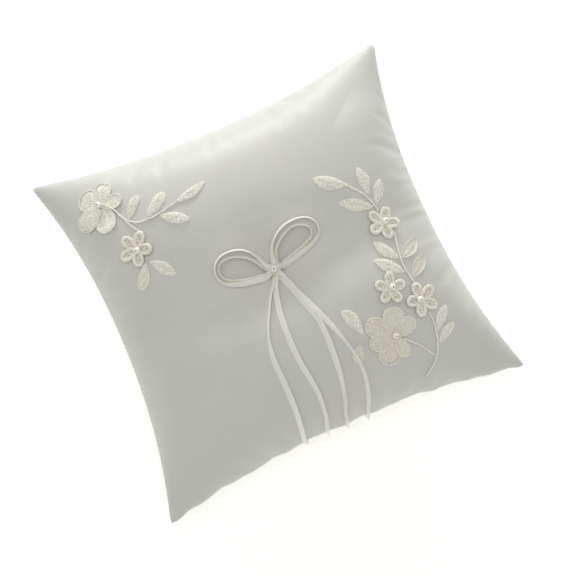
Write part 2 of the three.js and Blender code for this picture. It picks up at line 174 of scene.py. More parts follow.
def normals_of(grid):
    """Unit normals of an (R, C, 3) grid whose rows run along +Y and columns along +X."""
    return unit(np.cross(np.gradient(grid, axis=1), np.gradient(grid, axis=0)))


def grid_sample(grid, lines, s, t):
    """Bilinear values of a (rows t, columns s) grid at any shares."""
    column = np.interp(s, lines, np.arange(len(lines)))
    row = np.interp(t, lines, np.arange(len(lines)))
    c = np.minimum(column.astype(int), len(lines) - 2)
    r = np.minimum(row.astype(int), len(lines) - 2)
    fc, fr = (column - c)[..., None], (row - r)[..., None]
    low = grid[r, c] * (1 - fc) + grid[r, c + 1] * fc
    high = grid[r + 1, c] * (1 - fc) + grid[r + 1, c + 1] * fc
    return low * (1 - fr) + high * fr


def unit(v):
    v = np.asarray(v, float)
    return v / np.maximum(np.linalg.norm(v, axis=-1, keepdims=True), 1e-12)


def smoothstep(low, high, value):
    share = np.clip((value - low) / (high - low), 0, 1)
    return share * share * (3 - 2 * share)


def turns(count):
    """Angles at even steps once round."""
    return np.arange(count) * 2 * math.pi / count


def uv_grid(u, v):
    return np.stack(np.broadcast_arrays(u, v), -1)


def distances(points):
    """How far along a route each of its points is."""
    return np.concatenate([[0], np.cumsum(np.linalg.norm(np.diff(points, axis=0), axis=1))])


def length_of(points):
    return float(distances(points)[-1])


# ---------- meshes ----------


def quads(rows, columns, offset=0, flip=False):
    """Faces between the neighbours of a grid of rows x columns points."""
    i, j = np.indices((rows - 1, columns - 1))
    a = (offset + i * columns + j).ravel()
    face = np.stack([a, a + 1, a + columns + 1, a + columns], 1)
    return face[:, ::-1] if flip else face


class Shape:
    """Closed shells gathered into one mesh, with a UV for every face corner."""

    def __init__(self):
        self.points, self.faces, self.uvs, self.count = [], [], [], 0

    def add(self, points, faces, corner_uvs):
        self.points.append(np.asarray(points, float).reshape(-1, 3))
        self.faces += [tuple(int(i) + self.count for i in f) for f in faces]
        self.uvs += list(corner_uvs)
        self.count += len(self.points[-1])
        return self

    def slab(self, top, bottom, uv):
        """A closed solid between two matching grids (R, C, 3); uv is (R, C, 2)."""
        rows, columns = top.shape[:2]
        size = rows * columns
        ids = np.arange(size).reshape(rows, columns)
        rim = np.concatenate([ids[0, :-1], ids[:-1, -1], ids[-1, :0:-1], ids[:0:-1, 0]])
        after = np.roll(rim, -1)
        faces = np.concatenate([
            quads(rows, columns),
            quads(rows, columns, size, flip=True),
            np.stack([rim, rim + size, after + size, after], 1),
        ])
        flat = np.concatenate([uv.reshape(-1, 2)] * 2)
        points = np.concatenate([top.reshape(-1, 3), bottom.reshape(-1, 3)])
        return self.add(points, faces, flat[faces].reshape(-1, 2))

    def loft(self, rings, closed=False):
        """A solid through rings (K, M, 3), each turning left-handed about the way forward.

        Closed, the last ring joins the first. Otherwise both ends are capped.
        """
        count, around = rings.shape[:2]
        bands = count if closed else count - 1
        i, j = (index.ravel() for index in np.indices((bands, around)))
        k, n = (j + 1) % around, (i + 1) % count
        sides = np.stack([i * around + j, i * around + k, n * around + k, n * around + j], 1)
        u0, u1, v0, v1 = j / around, (j + 1) / around, i / bands, (i + 1) / bands
        uvs = np.stack([u0, v0, u1, v0, u1, v1, u0, v1], 1).reshape(-1, 2).tolist()
        points, faces = rings.reshape(-1, 3), sides.tolist()
        if not closed:
            points = np.vstack([points, rings[0].mean(0), rings[-1].mean(0)])
            middle, last = count * around, (count - 1) * around
            pairs = [(m, (m + 1) % around) for m in range(around)]
            faces += [(b, a, middle) for a, b in pairs]
            faces += [(last + a, last + b, middle + 1) for a, b in pairs]
            uvs += [(0.5, 0.0)] * (3 * around) + [(0.5, 1.0)] * (3 * around)
        return self.add(points, faces, uvs)

    def revolve(self, profile, centre, axis, segments):
        """A closed ring of (radius, height) points turned about an axis through centre."""
        axis = unit(axis)
        side = unit(np.cross(axis, [0.31, 0.95, 0.1]))
        other = np.cross(axis, side)
        angle = turns(segments)
        out = np.cos(angle)[:, None] * side + np.sin(angle)[:, None] * other
        profile = np.asarray(profile, float)
        rings = centre + out[:, None, :] * profile[None, :, :1] + axis * profile[None, :, 1:]
        return self.loft(rings, closed=True)

    def build(self, name, finish, slot, replaces=(), ride=True):
        """The mesh object, its faces pointing out of each closed shell."""
        points = np.concatenate(self.points) * MM
        mesh = bpy.data.meshes.new(name)
        mesh.from_pydata(points.tolist(), [], self.faces)
        layer = mesh.uv_layers.new(name="UVMap")
        layer.data.foreach_set("uv", np.asarray(self.uvs, np.float32).ravel())
        mesh.polygons.foreach_set("use_smooth", [True] * len(mesh.polygons))
        mesh.materials.append(finish)
        if signed_volume(points, self.faces) < 0:
            mesh.flip_normals()
        mesh.update()
        piece = add_object(name, mesh)
        if replaces:
            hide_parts(*replaces)
        if ride:
            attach(piece, "pillow")
        return piece


def signed_volume(points, faces):
    total = 0.0
    middle = points.mean(0)
    for size in {len(f) for f in faces}:
        same = np.array([f for f in faces if len(f) == size])
        corner = points[same] - middle
        for k in range(1, size - 1):
            total += (corner[:, 0] * np.cross(corner[:, k], corner[:, k + 1])).sum()
    return total / 6


# ---------- materials ----------


class Nodes:
    """Short hand for one material's node tree."""

    def __init__(self, name, **sockets):
        self.material = bpy.data.materials.new(name)
        self.material.use_nodes = True
        self.tree = self.material.node_tree
        self.shader = self.tree.nodes["Principled BSDF"]
        for socket, value in sockets.items():
            self.shader.inputs[socket.replace("_", " ")].default_value = value

    def node(self, kind, inputs=None, **settings):
        node = self.tree.nodes.new(kind)
        for key, value in settings.items():
            setattr(node, key, value)
        for key, value in (inputs or {}).items():
            if isinstance(value, bpy.types.NodeSocket):
                self.tree.links.new(value, node.inputs[key])
            else:
                node.inputs[key].default_value = value
        return node

    def place(self, scale=(1, 1, 1), uv=False):
        """Object coordinates in millimetres, or the UV map, times scale."""
        source = self.node("ShaderNodeTexCoord").outputs["UV" if uv else "Object"]
        factor = scale if uv else tuple(1000 * c for c in scale)
        inputs = {0: source, 1: factor}
        return self.node("ShaderNodeVectorMath", inputs, operation="MULTIPLY").outputs[0]

    def noise(self, vector, scale, detail=3.0, roughness=0.5):
        inputs = {"Vector": vector, "Scale": scale, "Detail": detail, "Roughness": roughness}
        return self.node("ShaderNodeTexNoise", inputs).outputs["Fac"]

    def wave(self, vector, period, direction="X", distortion=0.0):
        inputs = {"Vector": vector, "Scale": math.pi / 10 / period, "Distortion": distortion}
        return self.node(
            "ShaderNodeTexWave", inputs, wave_type="BANDS", bands_direction=direction
        ).outputs["Fac"]

    def ramp(self, factor, stops):
        ramp = self.node("ShaderNodeValToRGB", {"Fac": factor})
        elements = ramp.color_ramp.elements
        for element, (position, colour) in zip(elements, (stops[0], stops[-1])):
            element.position, element.color = position, (*colour, 1)
        for position, colour in stops[1:-1]:
            elements.new(position).color = (*colour, 1)
        return ramp.outputs["Color"]

    def blend(self, factor, first, second):
        return self.node(
            "ShaderNodeMix", {"Factor": factor, "A": first, "B": second}, data_type="FLOAT"
        ).outputs["Result"]

    def maths(self, operation, *values):
        return self.node("ShaderNodeMath", dict(enumerate(values)), operation=operation).outputs[0]

    def colour(self, factor, *stops):
        self.tree.links.new(self.ramp(factor, stops), self.shader.inputs["Base Color"])

    def roughness(self, factor, low, high):
        inputs = {"Value": factor, "To Min": low, "To Max": high}
        value = self.node("ShaderNodeMapRange", inputs).outputs[0]
        self.tree.links.new(value, self.shader.inputs["Roughness"])

    def bump(self, height, distance, strength, normal=None):
        inputs = {"Height": height, "Distance": distance * MM, "Strength": strength}
        if normal is not None:
            inputs["Normal"] = normal
        normal = self.node("ShaderNodeBump", inputs).outputs["Normal"]
        self.tree.links.new(normal, self.shader.inputs["Normal"])
        return normal


SATIN_LIGHT, SATIN_DARK = (0.63, 0.63, 0.58), (0.597, 0.598, 0.552)
RIBBON_LIGHT, RIBBON_DARK = (0.97, 0.95, 0.83), (0.90, 0.88, 0.755)
# Lace and net ramps: the dark ends paint shade into the stitch grooves, and the same ramps give the
# thread random tone.
LACE_LIGHT, LACE_DARK = (0.98, 0.955, 0.86), (0.62, 0.60, 0.495)
NET_LIGHT, NET_DARK = (0.85, 0.82, 0.72), (0.61, 0.58, 0.49)
# Pearl colours by how the bead faces the camera: painted sheen where it faces, its body colour,
# painted shade where it turns away.
PEARL_FACING_SHEEN, PEARL_BODY, PEARL_TURNED_SHADE = (0.94, 0.92, 0.87), (0.87, 0.85, 0.79), (0.72, 0.71, 0.70)
THREAD_LIGHT, THREAD_DARK = (0.78, 0.77, 0.71), (0.64, 0.63, 0.58)
FILLING_LIGHT, FILLING_DARK = (0.92, 0.92, 0.91), (0.80, 0.80, 0.79)
FLOOR_LIGHT, FLOOR_DARK = (0.95, 0.95, 0.95), (0.93, 0.93, 0.93)
FLOOR_GLOW, FLOOR_GLOW_COLOUR = 0.35, (1, 1, 0.88, 1)
WARP_PITCH, WEFT_PITCH = 0.24, 0.9


def satin_material():
    """Duchess satin: long warp floats along Y, each bound down by a weft thread now and then."""
    m = Nodes("satin", Sheen_Weight=0.25, Sheen_Roughness=0.45, Specular_IOR_Level=0.35,
              Anisotropic=0.35)
    place = m.place()
    cloud = m.noise(place, 0.035, 2.0)
    slub = m.noise(m.place((1, 0.06, 1)), 1.3, 4.0)
    tone = m.blend(0.45, cloud, slub)
    m.colour(tone, (0.3, SATIN_DARK), (0.7, SATIN_LIGHT))
    m.roughness(slub, 0.38, 0.52)
    warp = m.wave(place, WARP_PITCH, "X", 0.6)
    binding = m.node("ShaderNodeTexBrick", {
        "Vector": place, "Scale": 1.0, "Mortar Size": 0.035, "Mortar Smooth": 0.8,
        "Brick Width": WARP_PITCH, "Row Height": WEFT_PITCH, "Mortar": (0, 0, 0, 1),
        "Color1": (1, 1, 1, 1), "Color2": (0.9, 0.9, 0.9, 1),
    }, offset=0.4, offset_frequency=2).outputs["Color"]
    first = m.bump(warp, 0.02, 0.35)
    second = m.bump(binding, 0.015, 0.25, first)
    m.bump(m.noise(place, 0.9, 5.0, 0.6), 0.05, 0.2, second)
    return m.material


def ribbon_material():
    """Double-face satin ribbon: fine lengthwise floats and a firmer woven edge."""
    m = Nodes("ribbon", Sheen_Weight=0.2, Sheen_Roughness=0.35, Specular_IOR_Level=0.5,
              Anisotropic=0.5, Subsurface_Weight=0.6, Subsurface_Scale=0.0012,
              Subsurface_Radius=(1.0, 0.95, 0.85))
    across = m.place((12, 1, 1), uv=True)
    place = m.place()
    floats = m.noise(m.place((90, 30, 1), uv=True), 1.0, 3.0)
    tone = m.blend(0.6, m.noise(place, 0.25, 2.0), floats)
    m.colour(tone, (0.3, RIBBON_DARK), (0.7, RIBBON_LIGHT))
    m.roughness(floats, 0.26, 0.4)
    ribs = m.wave(across, 0.25, "X")
    first = m.bump(ribs, 0.02, 0.3)
    m.bump(m.noise(place, 3.0, 4.0), 0.03, 0.25, first)
    return m.material


def lace_material(name, light, dark):
    """Rayon thread in satin stitch: fine plies along each stitch, with painted shade in the
    grooves.
    """
    m = Nodes(name, Sheen_Weight=0.35, Sheen_Roughness=0.4, Specular_IOR_Level=0.45)
    place = m.place()
    fibre = m.noise(m.place((1, 60, 1), uv=True), 3.0, 4.0)
    grain = m.noise(place, 1.1, 4.0, 0.6)
    # The fibre noise is also the first bump's height, so its grooves get painted shade. The grain
    # noise adds random tone.
    tone = m.blend(0.65, fibre, grain)
    m.colour(tone, (0.36, dark), (0.6, light))
    m.roughness(grain, 0.42, 0.68)
    first = m.bump(fibre, 0.08, 0.6)
    m.bump(m.noise(place, 3.2, 4.0, 0.6), 0.16, 0.6, first)
    return m.material


def pearl_material():
    """Imitation pearl: a cream bead under a clear lacquer, with painted sheen where it faces the
    camera and painted shade, cooler and greyer, where it turns away.
    """
    m = Nodes("pearl", Roughness=0.34, Coat_Weight=0.35, Coat_Roughness=0.18,
              Specular_IOR_Level=0.5)
    facing = m.node("ShaderNodeLayerWeight", {"Blend": 0.35}).outputs["Facing"]
    cloud = m.noise(m.place(), 0.9, 3.0)
    # Painted sheen and painted shade by facing, with a little random tone from the cloud noise.
    tone = m.maths("ADD", m.maths("MULTIPLY", facing, 0.8), m.maths("MULTIPLY", cloud, 0.25))
    m.colour(tone, (0.05, PEARL_FACING_SHEEN), (0.5, PEARL_BODY), (0.95, PEARL_TURNED_SHADE))
    m.bump(m.noise(m.place(), 1.2, 2.0), 0.02, 0.1)
    return m.material


def thread_material():
    """Matt sewing thread with a slanting twist."""
    m = Nodes("thread", Sheen_Weight=0.2, Specular_IOR_Level=0.4)
    grain = m.noise(m.place(), 5.0, 4.0)
    m.colour(grain, (0.3, THREAD_DARK), (0.7, THREAD_LIGHT))
    m.roughness(grain, 0.5, 0.7)
    m.bump(m.wave(m.place((1, 40, 1), uv=True), 0.5, "DIAGONAL"), 0.05, 0.4)
    return m.material


def filling_material():
    """Loose polyester fibre."""
    m = Nodes("filling", Sheen_Weight=0.5, Sheen_Roughness=0.7, Specular_IOR_Level=0.2)
    strands = m.noise(m.place((1, 0.2, 0.6)), 1.6, 6.0, 0.7)
    m.colour(strands, (0.3, FILLING_DARK), (0.7, FILLING_LIGHT))
    m.roughness(strands, 0.85, 1.0)
    m.bump(m.noise(m.place(), 1.2, 6.0, 0.75), 0.6, 0.6)
    return m.material


def floor_material():
    """A plain pale floor that glows a little, so that it shows as white."""
    m = Nodes("floor", Roughness=0.9, Specular_IOR_Level=0.1)
    grain = m.noise(m.place(), 0.01, 2.0)
    m.colour(grain, (0.2, FLOOR_DARK), (0.8, FLOOR_LIGHT))
    m.shader.inputs["Emission Color"].default_value = FLOOR_GLOW_COLOUR
    m.shader.inputs["Emission Strength"].default_value = FLOOR_GLOW
    return m.material


SATIN = satin_material()
RIBBON = ribbon_material()
LACE = lace_material("lace", LACE_LIGHT, LACE_DARK)
NET = lace_material("net", NET_LIGHT, NET_DARK)
PEARL = pearl_material()
THREAD = thread_material()
FILLING = filling_material()

# ---------- cover: the cloth pulls into its seam and its tack point ----------
SIM_CELLS = 84
SIM_FRAMES = 20
SIM_CAP = 3.0  # how far a point may move
SIM_SCALE = 0.01  # the cloth solver is steadiest on a cushion a few metres wide
SIM_KNOT_HOLD = 4.0  # how far round the knot the cloth is tacked down
SIM_FLOOR_HOLD = 0.6  # how near the table the underside is held
CLOTH = {
    "quality": 5, "mass": 0.15, "tension_stiffness": 12, "compression_stiffness": 12,
    "shear_stiffness": 4, "bending_stiffness": 0.3, "use_pressure": True,
    "uniform_pressure_force": 3.0, "shrink_min": -0.02, "vertex_group_mass": "pins",
}
COVER_CELLS = 160
EDGE_WAVES = [(1.0, 0.31, 0.4), (2.3, 0.34, 1.9), (3.7, 0.24, 0.7), (5.9, 0.1, 2.6)]
EDGE_WAVE_LENGTH = 60.0
STITCH_PUCKER = 0.1
STITCH_PITCH = 2.6
PUCKER_REACH = 1.6
CORNER_CALM = 0.93
CORNER_PULL = 1.0  # how far a sewn corner is rounded off
SHOULDER_POWER = 0.77
CREASE_DEPTH = 3.2  # the tack thread draws a fold along the cushion
CREASE_WIDTH = 7.0
CREASE_LENGTH = 82.0
CREASE_SLOPE = 0.02
BANK_RISE = 2.4  # how far the filling stands up on both sides of the fold


def simulate_cover(lines):
    """Moves of the front and back grids when air presses the sewn cover out against its seam."""
    s, t = np.meshgrid(lines, lines)
    front, under = crown(s, t), base(s, t)
    cells = len(lines)
    ids = np.arange(cells * cells).reshape(cells, cells)
    rim = np.zeros((cells, cells), bool)
    rim[[0, -1], :] = rim[:, [0, -1]] = True
    below = ids.copy()
    below[~rim] = cells * cells + np.arange((~rim).sum())
    points = np.concatenate([front.reshape(-1, 3), under[~rim]])
    top = quads(cells, cells)
    bottom = below.ravel()[quads(cells, cells, flip=True)]
    mesh = bpy.data.meshes.new("cloth")
    mesh.from_pydata((points * SIM_SCALE).tolist(), [], np.concatenate([top, bottom]).tolist())
    cloth = add_object("cloth", mesh)
    pins = cloth.vertex_groups.new(name="pins")
    near_knot = np.hypot(front[..., 0], front[..., 1]) < SIM_KNOT_HOLD
    resting = (under[..., 2] < SIM_FLOOR_HOLD) & ~rim
    for held in (ids[rim], ids[near_knot], below[resting]):
        pins.add(held.tolist(), 1.0, "REPLACE")
    modifier = cloth.modifiers.new("cloth", "CLOTH")
    for key, value in CLOTH.items():
        setattr(modifier.settings, key, value)
    modifier.settings.effector_weights.gravity = 0
    modifier.collision_settings.use_collision = False
    scene = bpy.context.scene
    scene.frame_start, scene.frame_end = 1, SIM_FRAMES
    modifier.point_cache.frame_start, modifier.point_cache.frame_end = 1, SIM_FRAMES
    for number in range(1, SIM_FRAMES + 1):
        scene.frame_set(number)
    done = cloth.evaluated_get(bpy.context.evaluated_depsgraph_get()).to_mesh()
    moved = np.array([v.co for v in done.vertices]) / SIM_SCALE - points
    bpy.data.objects.remove(cloth)
    scene.frame_set(1)
    length = np.linalg.norm(moved, axis=1, keepdims=True)
    moved = moved * (np.tanh(length / SIM_CAP) * SIM_CAP / np.maximum(length, 1e-9))
    return moved[ids], moved[below]


def seam_wave(s, t):
    """How far the cloth near the hand-sewn front side stands out of line, in millimetres."""
    turn = s * WIDTH / 2 * 2 * math.pi / EDGE_WAVE_LENGTH
    wave = sum(size * np.sin(turn * step + phase) for step, size, phase in EDGE_WAVES)
    return wave * smoothstep(-0.9, -1.0, t) * smoothstep(1.0, 0.9, np.abs(s))


def pucker(s, t, grid):
    """Small dimples of the machine stitches that fade away from the seam."""
    along = np.where(np.abs(s) * WIDTH > np.abs(t) * DEPTH, grid[..., 1], grid[..., 0])
    away = (1 - np.maximum(np.abs(s), np.abs(t))) * WIDTH / 2
    depth = np.exp(-away / PUCKER_REACH) * smoothstep(0.0, 0.4, away)
    return STITCH_PUCKER * depth * np.sin(along * 2 * math.pi / STITCH_PITCH)


def round_corners(grid, s, t):
    """Draws the four corners in, as a turned corner of satin is never sharp."""
    share = smoothstep(0.955, 1.0, np.minimum(np.abs(s), np.abs(t))) ** 1.2
    grid[..., 0] -= np.sign(s) * CORNER_PULL * share
    grid[..., 1] -= np.sign(t) * CORNER_PULL * share
    return grid


def calm(s, t):
    """Share of the cloth's own movement that is kept: little in the tight corners."""
    return 1 - CORNER_CALM * smoothstep(0.55, 0.82, np.minimum(np.abs(s), np.abs(t)))


def shoulders(s, t):
    """How much the stuffed crown stands out between its top and its seam."""
    full = swell(s, t)
    return CROWN_RISE * (full**SHOULDER_POWER - full)


def crease(grid, s, t):
    """How deep the fold through the knot is: a soft valley with a firm bottom."""
    x, y = grid[..., 0], grid[..., 1] - CREASE_SLOPE * grid[..., 0]
    fold = CREASE_DEPTH * np.exp(-np.sqrt(1 + (y / CREASE_WIDTH) ** 2) + 1)
    bank = BANK_RISE * smoothstep(3, 30, np.abs(y)) * smoothstep(90, 35, np.abs(y))
    return (fold - bank) * np.exp(-((x / CREASE_LENGTH) ** 2)) * smoothstep(1, 0.8, np.abs(s))


class Side:
    """One panel of the cover as it ends up: a fine grid of points and normals."""

    def __init__(self, surface, lines, moves, move_lines, up):
        s, t = np.meshgrid(lines, lines)
        grid = surface(s, t)
        if moves is not None:
            grid = grid + grid_sample(moves, move_lines, s, t) * calm(s, t)[..., None]
        if up > 0:
            grid[..., 2] += shoulders(s, t)
        normal = normals_of(grid) * up
        grid[..., 1] -= seam_wave(s, t)
        grid = round_corners(grid, s, t)
        if up > 0:
            grid[..., 2] -= crease(grid, s, t)
        grid = grid + normal * pucker(s, t, grid)[..., None]
        self.lines, self.points = lines, grid
        self.normals = normals_of(grid) * up
        self.inner = surface(s, t, FABRIC) + (grid - surface(s, t))

    def at(self, s, t, height=0.0):
        point = grid_sample(self.points, self.lines, s, t)
        normal = unit(grid_sample(self.normals, self.lines, s, t))
        return point + normal * np.asarray(height)[..., None], normal

    def over(self, x, y, height=0.0):
        """Points and normals above plan places x, y, at a height along the normal."""
        return self.at(*plan_share(x, y), height)


cover_lines = grid_lines(COVER_CELLS)
sim_lines = grid_lines(SIM_CELLS)
front_moves, back_moves = simulate_cover(sim_lines)
FRONT = Side(crown, cover_lines, front_moves, sim_lines, 1)
BACK = Side(base, cover_lines, back_moves, sim_lines, -1)
BACK.points[..., 2] = np.maximum(BACK.points[..., 2], 0)
BACK.inner[..., 2] = np.maximum(BACK.inner[..., 2], FABRIC)
for name, top, bottom in (("front", FRONT.points, FRONT.inner), ("back", BACK.inner, BACK.points)):
    cover = Shape().slab(top, bottom, panel_uv(cover_lines)).build(
        f"{name}_cover", SATIN, "satin", [f"{name}_panel"])


# ---------- routes ----------


def spline(stops, count):
    """A smooth curve through stops (K, D), as count points at even steps in plan."""
    stops = np.asarray(stops, float)
    gaps = np.sqrt(np.linalg.norm(np.diff(stops[:, :2], axis=0), axis=1)) + 1e-6
    knots = np.concatenate([[0], np.cumsum(gaps)])
    slopes = np.gradient(stops, knots, axis=0)
    dense = np.linspace(0, knots[-1], 40 * (len(stops) - 1) + 1)
    i = np.clip(np.searchsorted(knots, dense, "right") - 1, 0, len(stops) - 2)
    h = (knots[i + 1] - knots[i])[:, None]
    u = ((dense - knots[i]) / h[:, 0])[:, None]
    curve = (
        (2 * u**3 - 3 * u**2 + 1) * stops[i]
        + (u**3 - 2 * u**2 + u) * h * slopes[i]
        + (-2 * u**3 + 3 * u**2) * stops[i + 1]
        + (u**3 - u**2) * h * slopes[i + 1]
    )
    return resample(curve, count, 2)


def resample(curve, count, sizes=3):
    """count points at even steps along a curve, by the length of its first few values."""
    length = distances(curve[:, :sizes])
    wanted = np.linspace(0, length[-1], count)
    return np.stack([np.interp(wanted, length, c) for c in curve.T], 1)


def frames(points, normals):
    """Tangents, side vectors and true normals along a route."""
    tangent = unit(np.gradient(points, axis=0))
    normal = normals - tangent * (normals * tangent).sum(1, keepdims=True)
    normal = unit(normal)
    return tangent, np.cross(normal, tangent), normal


# ---------- ribbons ----------
RIBBON_WIDTH = 3.0
RIBBON_THICKNESS = 0.34
RIBBON_REST = 0.12  # how far a ribbon's underside is above the satin
RIBBON_CORNER = 4  # steps in a quarter turn round a selvedge
RIBBON_FACE = (0.66, 0.33, 0, -0.33, -0.66)  # stops across a face
RIBBON_DISH = 0.86  # a face's height against its selvedge's
RIBBON_STEP = 0.6
RIBBON_PASSES = 4  # how often a route's corners are smoothed


def ribbon_section():
    """Half widths and heights round a flat ribbon with rounded selvedges."""
    half, thick = RIBBON_WIDTH / 2, RIBBON_THICKNESS / 2
    section = []
    for side in (1, -1):
        for k in range(-RIBBON_CORNER, RIBBON_CORNER + 1):
            angle = math.pi / 2 * k / RIBBON_CORNER
            width = half - thick + thick * math.cos(angle)
            section.append((side * width, side * thick * math.sin(angle)))
        for share in RIBBON_FACE:
            section.append((side * share * (half - thick), side * thick * RIBBON_DISH))
    return np.array(section)


def ribbon(points, normals, rolls):
    """A ribbon along a route, turned by its roll about the route: flat at 0 and on edge at 90."""
    tangent, side, normal = frames(points, normals)
    roll = np.radians(rolls)[:, None]
    wide = side * np.cos(roll) + normal * np.sin(roll)
    thick = np.cross(tangent, wide)
    section = ribbon_section()
    rings = points[:, None] + wide[:, None] * section[:, :1] + thick[:, None] * section[:, 1:]
    return Shape().loft(rings[:, ::-1])


def lift_for(rolls):
    """How high a rolled ribbon's middle is when it just clears the satin."""
    angle = np.radians(rolls)
    half = (RIBBON_WIDTH * np.abs(np.sin(angle)) + RIBBON_THICKNESS * np.abs(np.cos(angle))) / 2
    return RIBBON_REST + half


KNOT_LOW, KNOT_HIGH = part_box("bow_knot")
KNOT = np.array((KNOT_LOW + KNOT_HIGH) / 2) / MM
KNOT_HALF = np.array((KNOT_HIGH - KNOT_LOW) / 2) / MM
KNOT_FILL = 0.88  # the gathered core's size against the knot's
KNOT_TURN_SIZE = 0.95  # the two turns' size against the knot's
KNOT_TURN_ANGLES = (38, -30)
KNOT_TURN_HALF, KNOT_TURN_THICK = 0.85, 0.17

# Loop stops are [x, y, roll] in plan, and tail stops [x, share of the way to the front seam, roll].
LOOPS = {
    "left_loop_outer": ("left_bow_loops", [
        [-3.2, 3.6, 45], [-5.6, 9.2, 62], [-8.3, 13.2, 77], [-12.3, 15.9, 84], [-18.1, 16.8, 86],
        [-23.2, 15.9, 85], [-26.6, 12.9, 82], [-27.8, 8.3, 74], [-25.4, 3, 58], [-19.8, -0.4, 48],
        [-13, -2.2, 46], [-5.6, -2.8, 46],
    ]),
    "left_loop_inner": ("left_bow_loops", [
        [-3.9, 2, 40], [-6.4, 6.6, 54], [-9.8, 10.6, 76], [-14.6, 13.2, 86], [-20, 14.2, 87],
        [-24.4, 12.8, 84], [-26, 9.2, 76], [-23.8, 4.4, 58], [-18.5, 1.1, 46], [-11.9, -0.7, 42],
        [-5.2, -1.6, 42],
    ]),
    "right_loop_outer": ("right_bow_loops", [
        [0.9, 4.9, 128], [2.6, 10.8, 108], [8.6, 16.6, 97], [17.8, 18.6, 95], [25.2, 16.4, 96],
        [27.9, 11.6, 102], [26.4, 7.4, 118], [21, 4, 132], [12.4, 1.1, 136], [5.6, -0.5, 136],
    ]),
    "right_loop_inner": ("right_bow_loops", [
        [2.3, 4.2, 132], [4, 8.8, 110], [8.6, 13.2, 96], [15.2, 15.9, 94], [21, 14.7, 96],
        [24.1, 11.4, 102], [22.9, 8.2, 118], [18.2, 5.4, 134], [10.2, 2.5, 138], [5.1, 0.7, 138],
    ]),
}
TAILS = {
    "tail_1": [
        [-2.2, 0.045, 60], [-3.6, 0.075, 56], [-5.6, 0.11, 48], [-8.4, 0.162, 50],
        [-11.2, 0.228, 60], [-14, 0.292, 66], [-16.2, 0.359, 62], [-17.5, 0.431, 36],
        [-18, 0.506, 14], [-17.8, 0.58, 10], [-17.8, 0.67, 16], [-18.2, 0.783, 28],
        [-19.3, 0.894, 40], [-20.2, 0.96, 46], [-20.6, 1, 48],
    ],
    "tail_2": [
        [-1, 0.05, 26], [-2.2, 0.08, 20], [-3.8, 0.122, 18], [-5.3, 0.187, 16], [-6.5, 0.253, 12],
        [-7.1, 0.329, 12], [-7.4, 0.406, 14], [-7.4, 0.485, 18], [-6.8, 0.567, 22],
        [-5.7, 0.656, 30], [-5, 0.742, 44], [-5.7, 0.853, 58], [-7.4, 0.955, 66], [-8.3, 1, 66],
    ],
    "tail_3": [
        [0.6, 0.055, 40], [1.9, 0.09, 26], [3.1, 0.127, 16], [4.8, 0.199, 10], [6.8, 0.272, 8],
        [8.3, 0.33, 12], [8.9, 0.364, 20], [9.1, 0.427, 26], [9.2, 0.498, 24], [8.9, 0.568, 24],
        [8.3, 0.66, 38], [7.2, 0.75, 54], [5.7, 0.84, 66], [3.7, 0.93, 74], [2.5, 1, 76],
    ],
    "tail_4": [
        [1.6, 0.05, 30], [2.5, 0.085, 20], [3.7, 0.127, 14], [5.7, 0.199, 12], [8.2, 0.272, 8],
        [10.7, 0.348, 14], [13.2, 0.424, 34], [15.3, 0.501, 58], [17.2, 0.577, 64],
        [18.4, 0.65, 60], [18.8, 0.71, 60], [18.2, 0.804, 64], [16.3, 0.893, 68],
        [15, 0.95, 72], [14.4, 1, 72],
    ],
}
# Where a tail lies on its neighbour: share of the way, and how much higher it is there.
TAIL_LIFTS = {
    "tail_2": ([0.05, 0.16, 0.24], [0.5, 0.45, 0]),
    "tail_4": ([0.05, 0.3, 0.4], [0.55, 0.55, 0]),
}
LOOP_SCALE = 0.97  # the loops' upper edges are what shows their size
LOOP_STOPS, TAIL_STOPS, DROP_STOPS = 90, 240, 40
LOOP_RISE = 1.6  # how far the far end of a loop floats above the satin
ROOT_INSIDE = 1.3  # how near the knot's middle a ribbon starts
TAIL_FLOOR_GAP = 2.0
TAIL_SWAY = 0.5


def even(points, normals, rolls, back_to_knot=False):
    """The route at even steps from just inside the knot, with its corners rounded."""
    table = np.hstack([points, normals, rolls[:, None]])

    def root(near):
        out = unit((near[:3] - KNOT) * [1, 1, 0.3])
        return np.concatenate([KNOT + out * ROOT_INSIDE, near[3:]])

    table = np.vstack([root(table[0]), table] + [root(table[-1])] * back_to_knot)
    table = resample(table, int(length_of(table[:, :3]) / RIBBON_STEP))
    for _ in range(RIBBON_PASSES):
        table[1:-1] = (table[:-2] + 2 * table[1:-1] + table[2:]) / 4
    return table[:, :3], unit(table[:, 3:6]), table[:, 6]


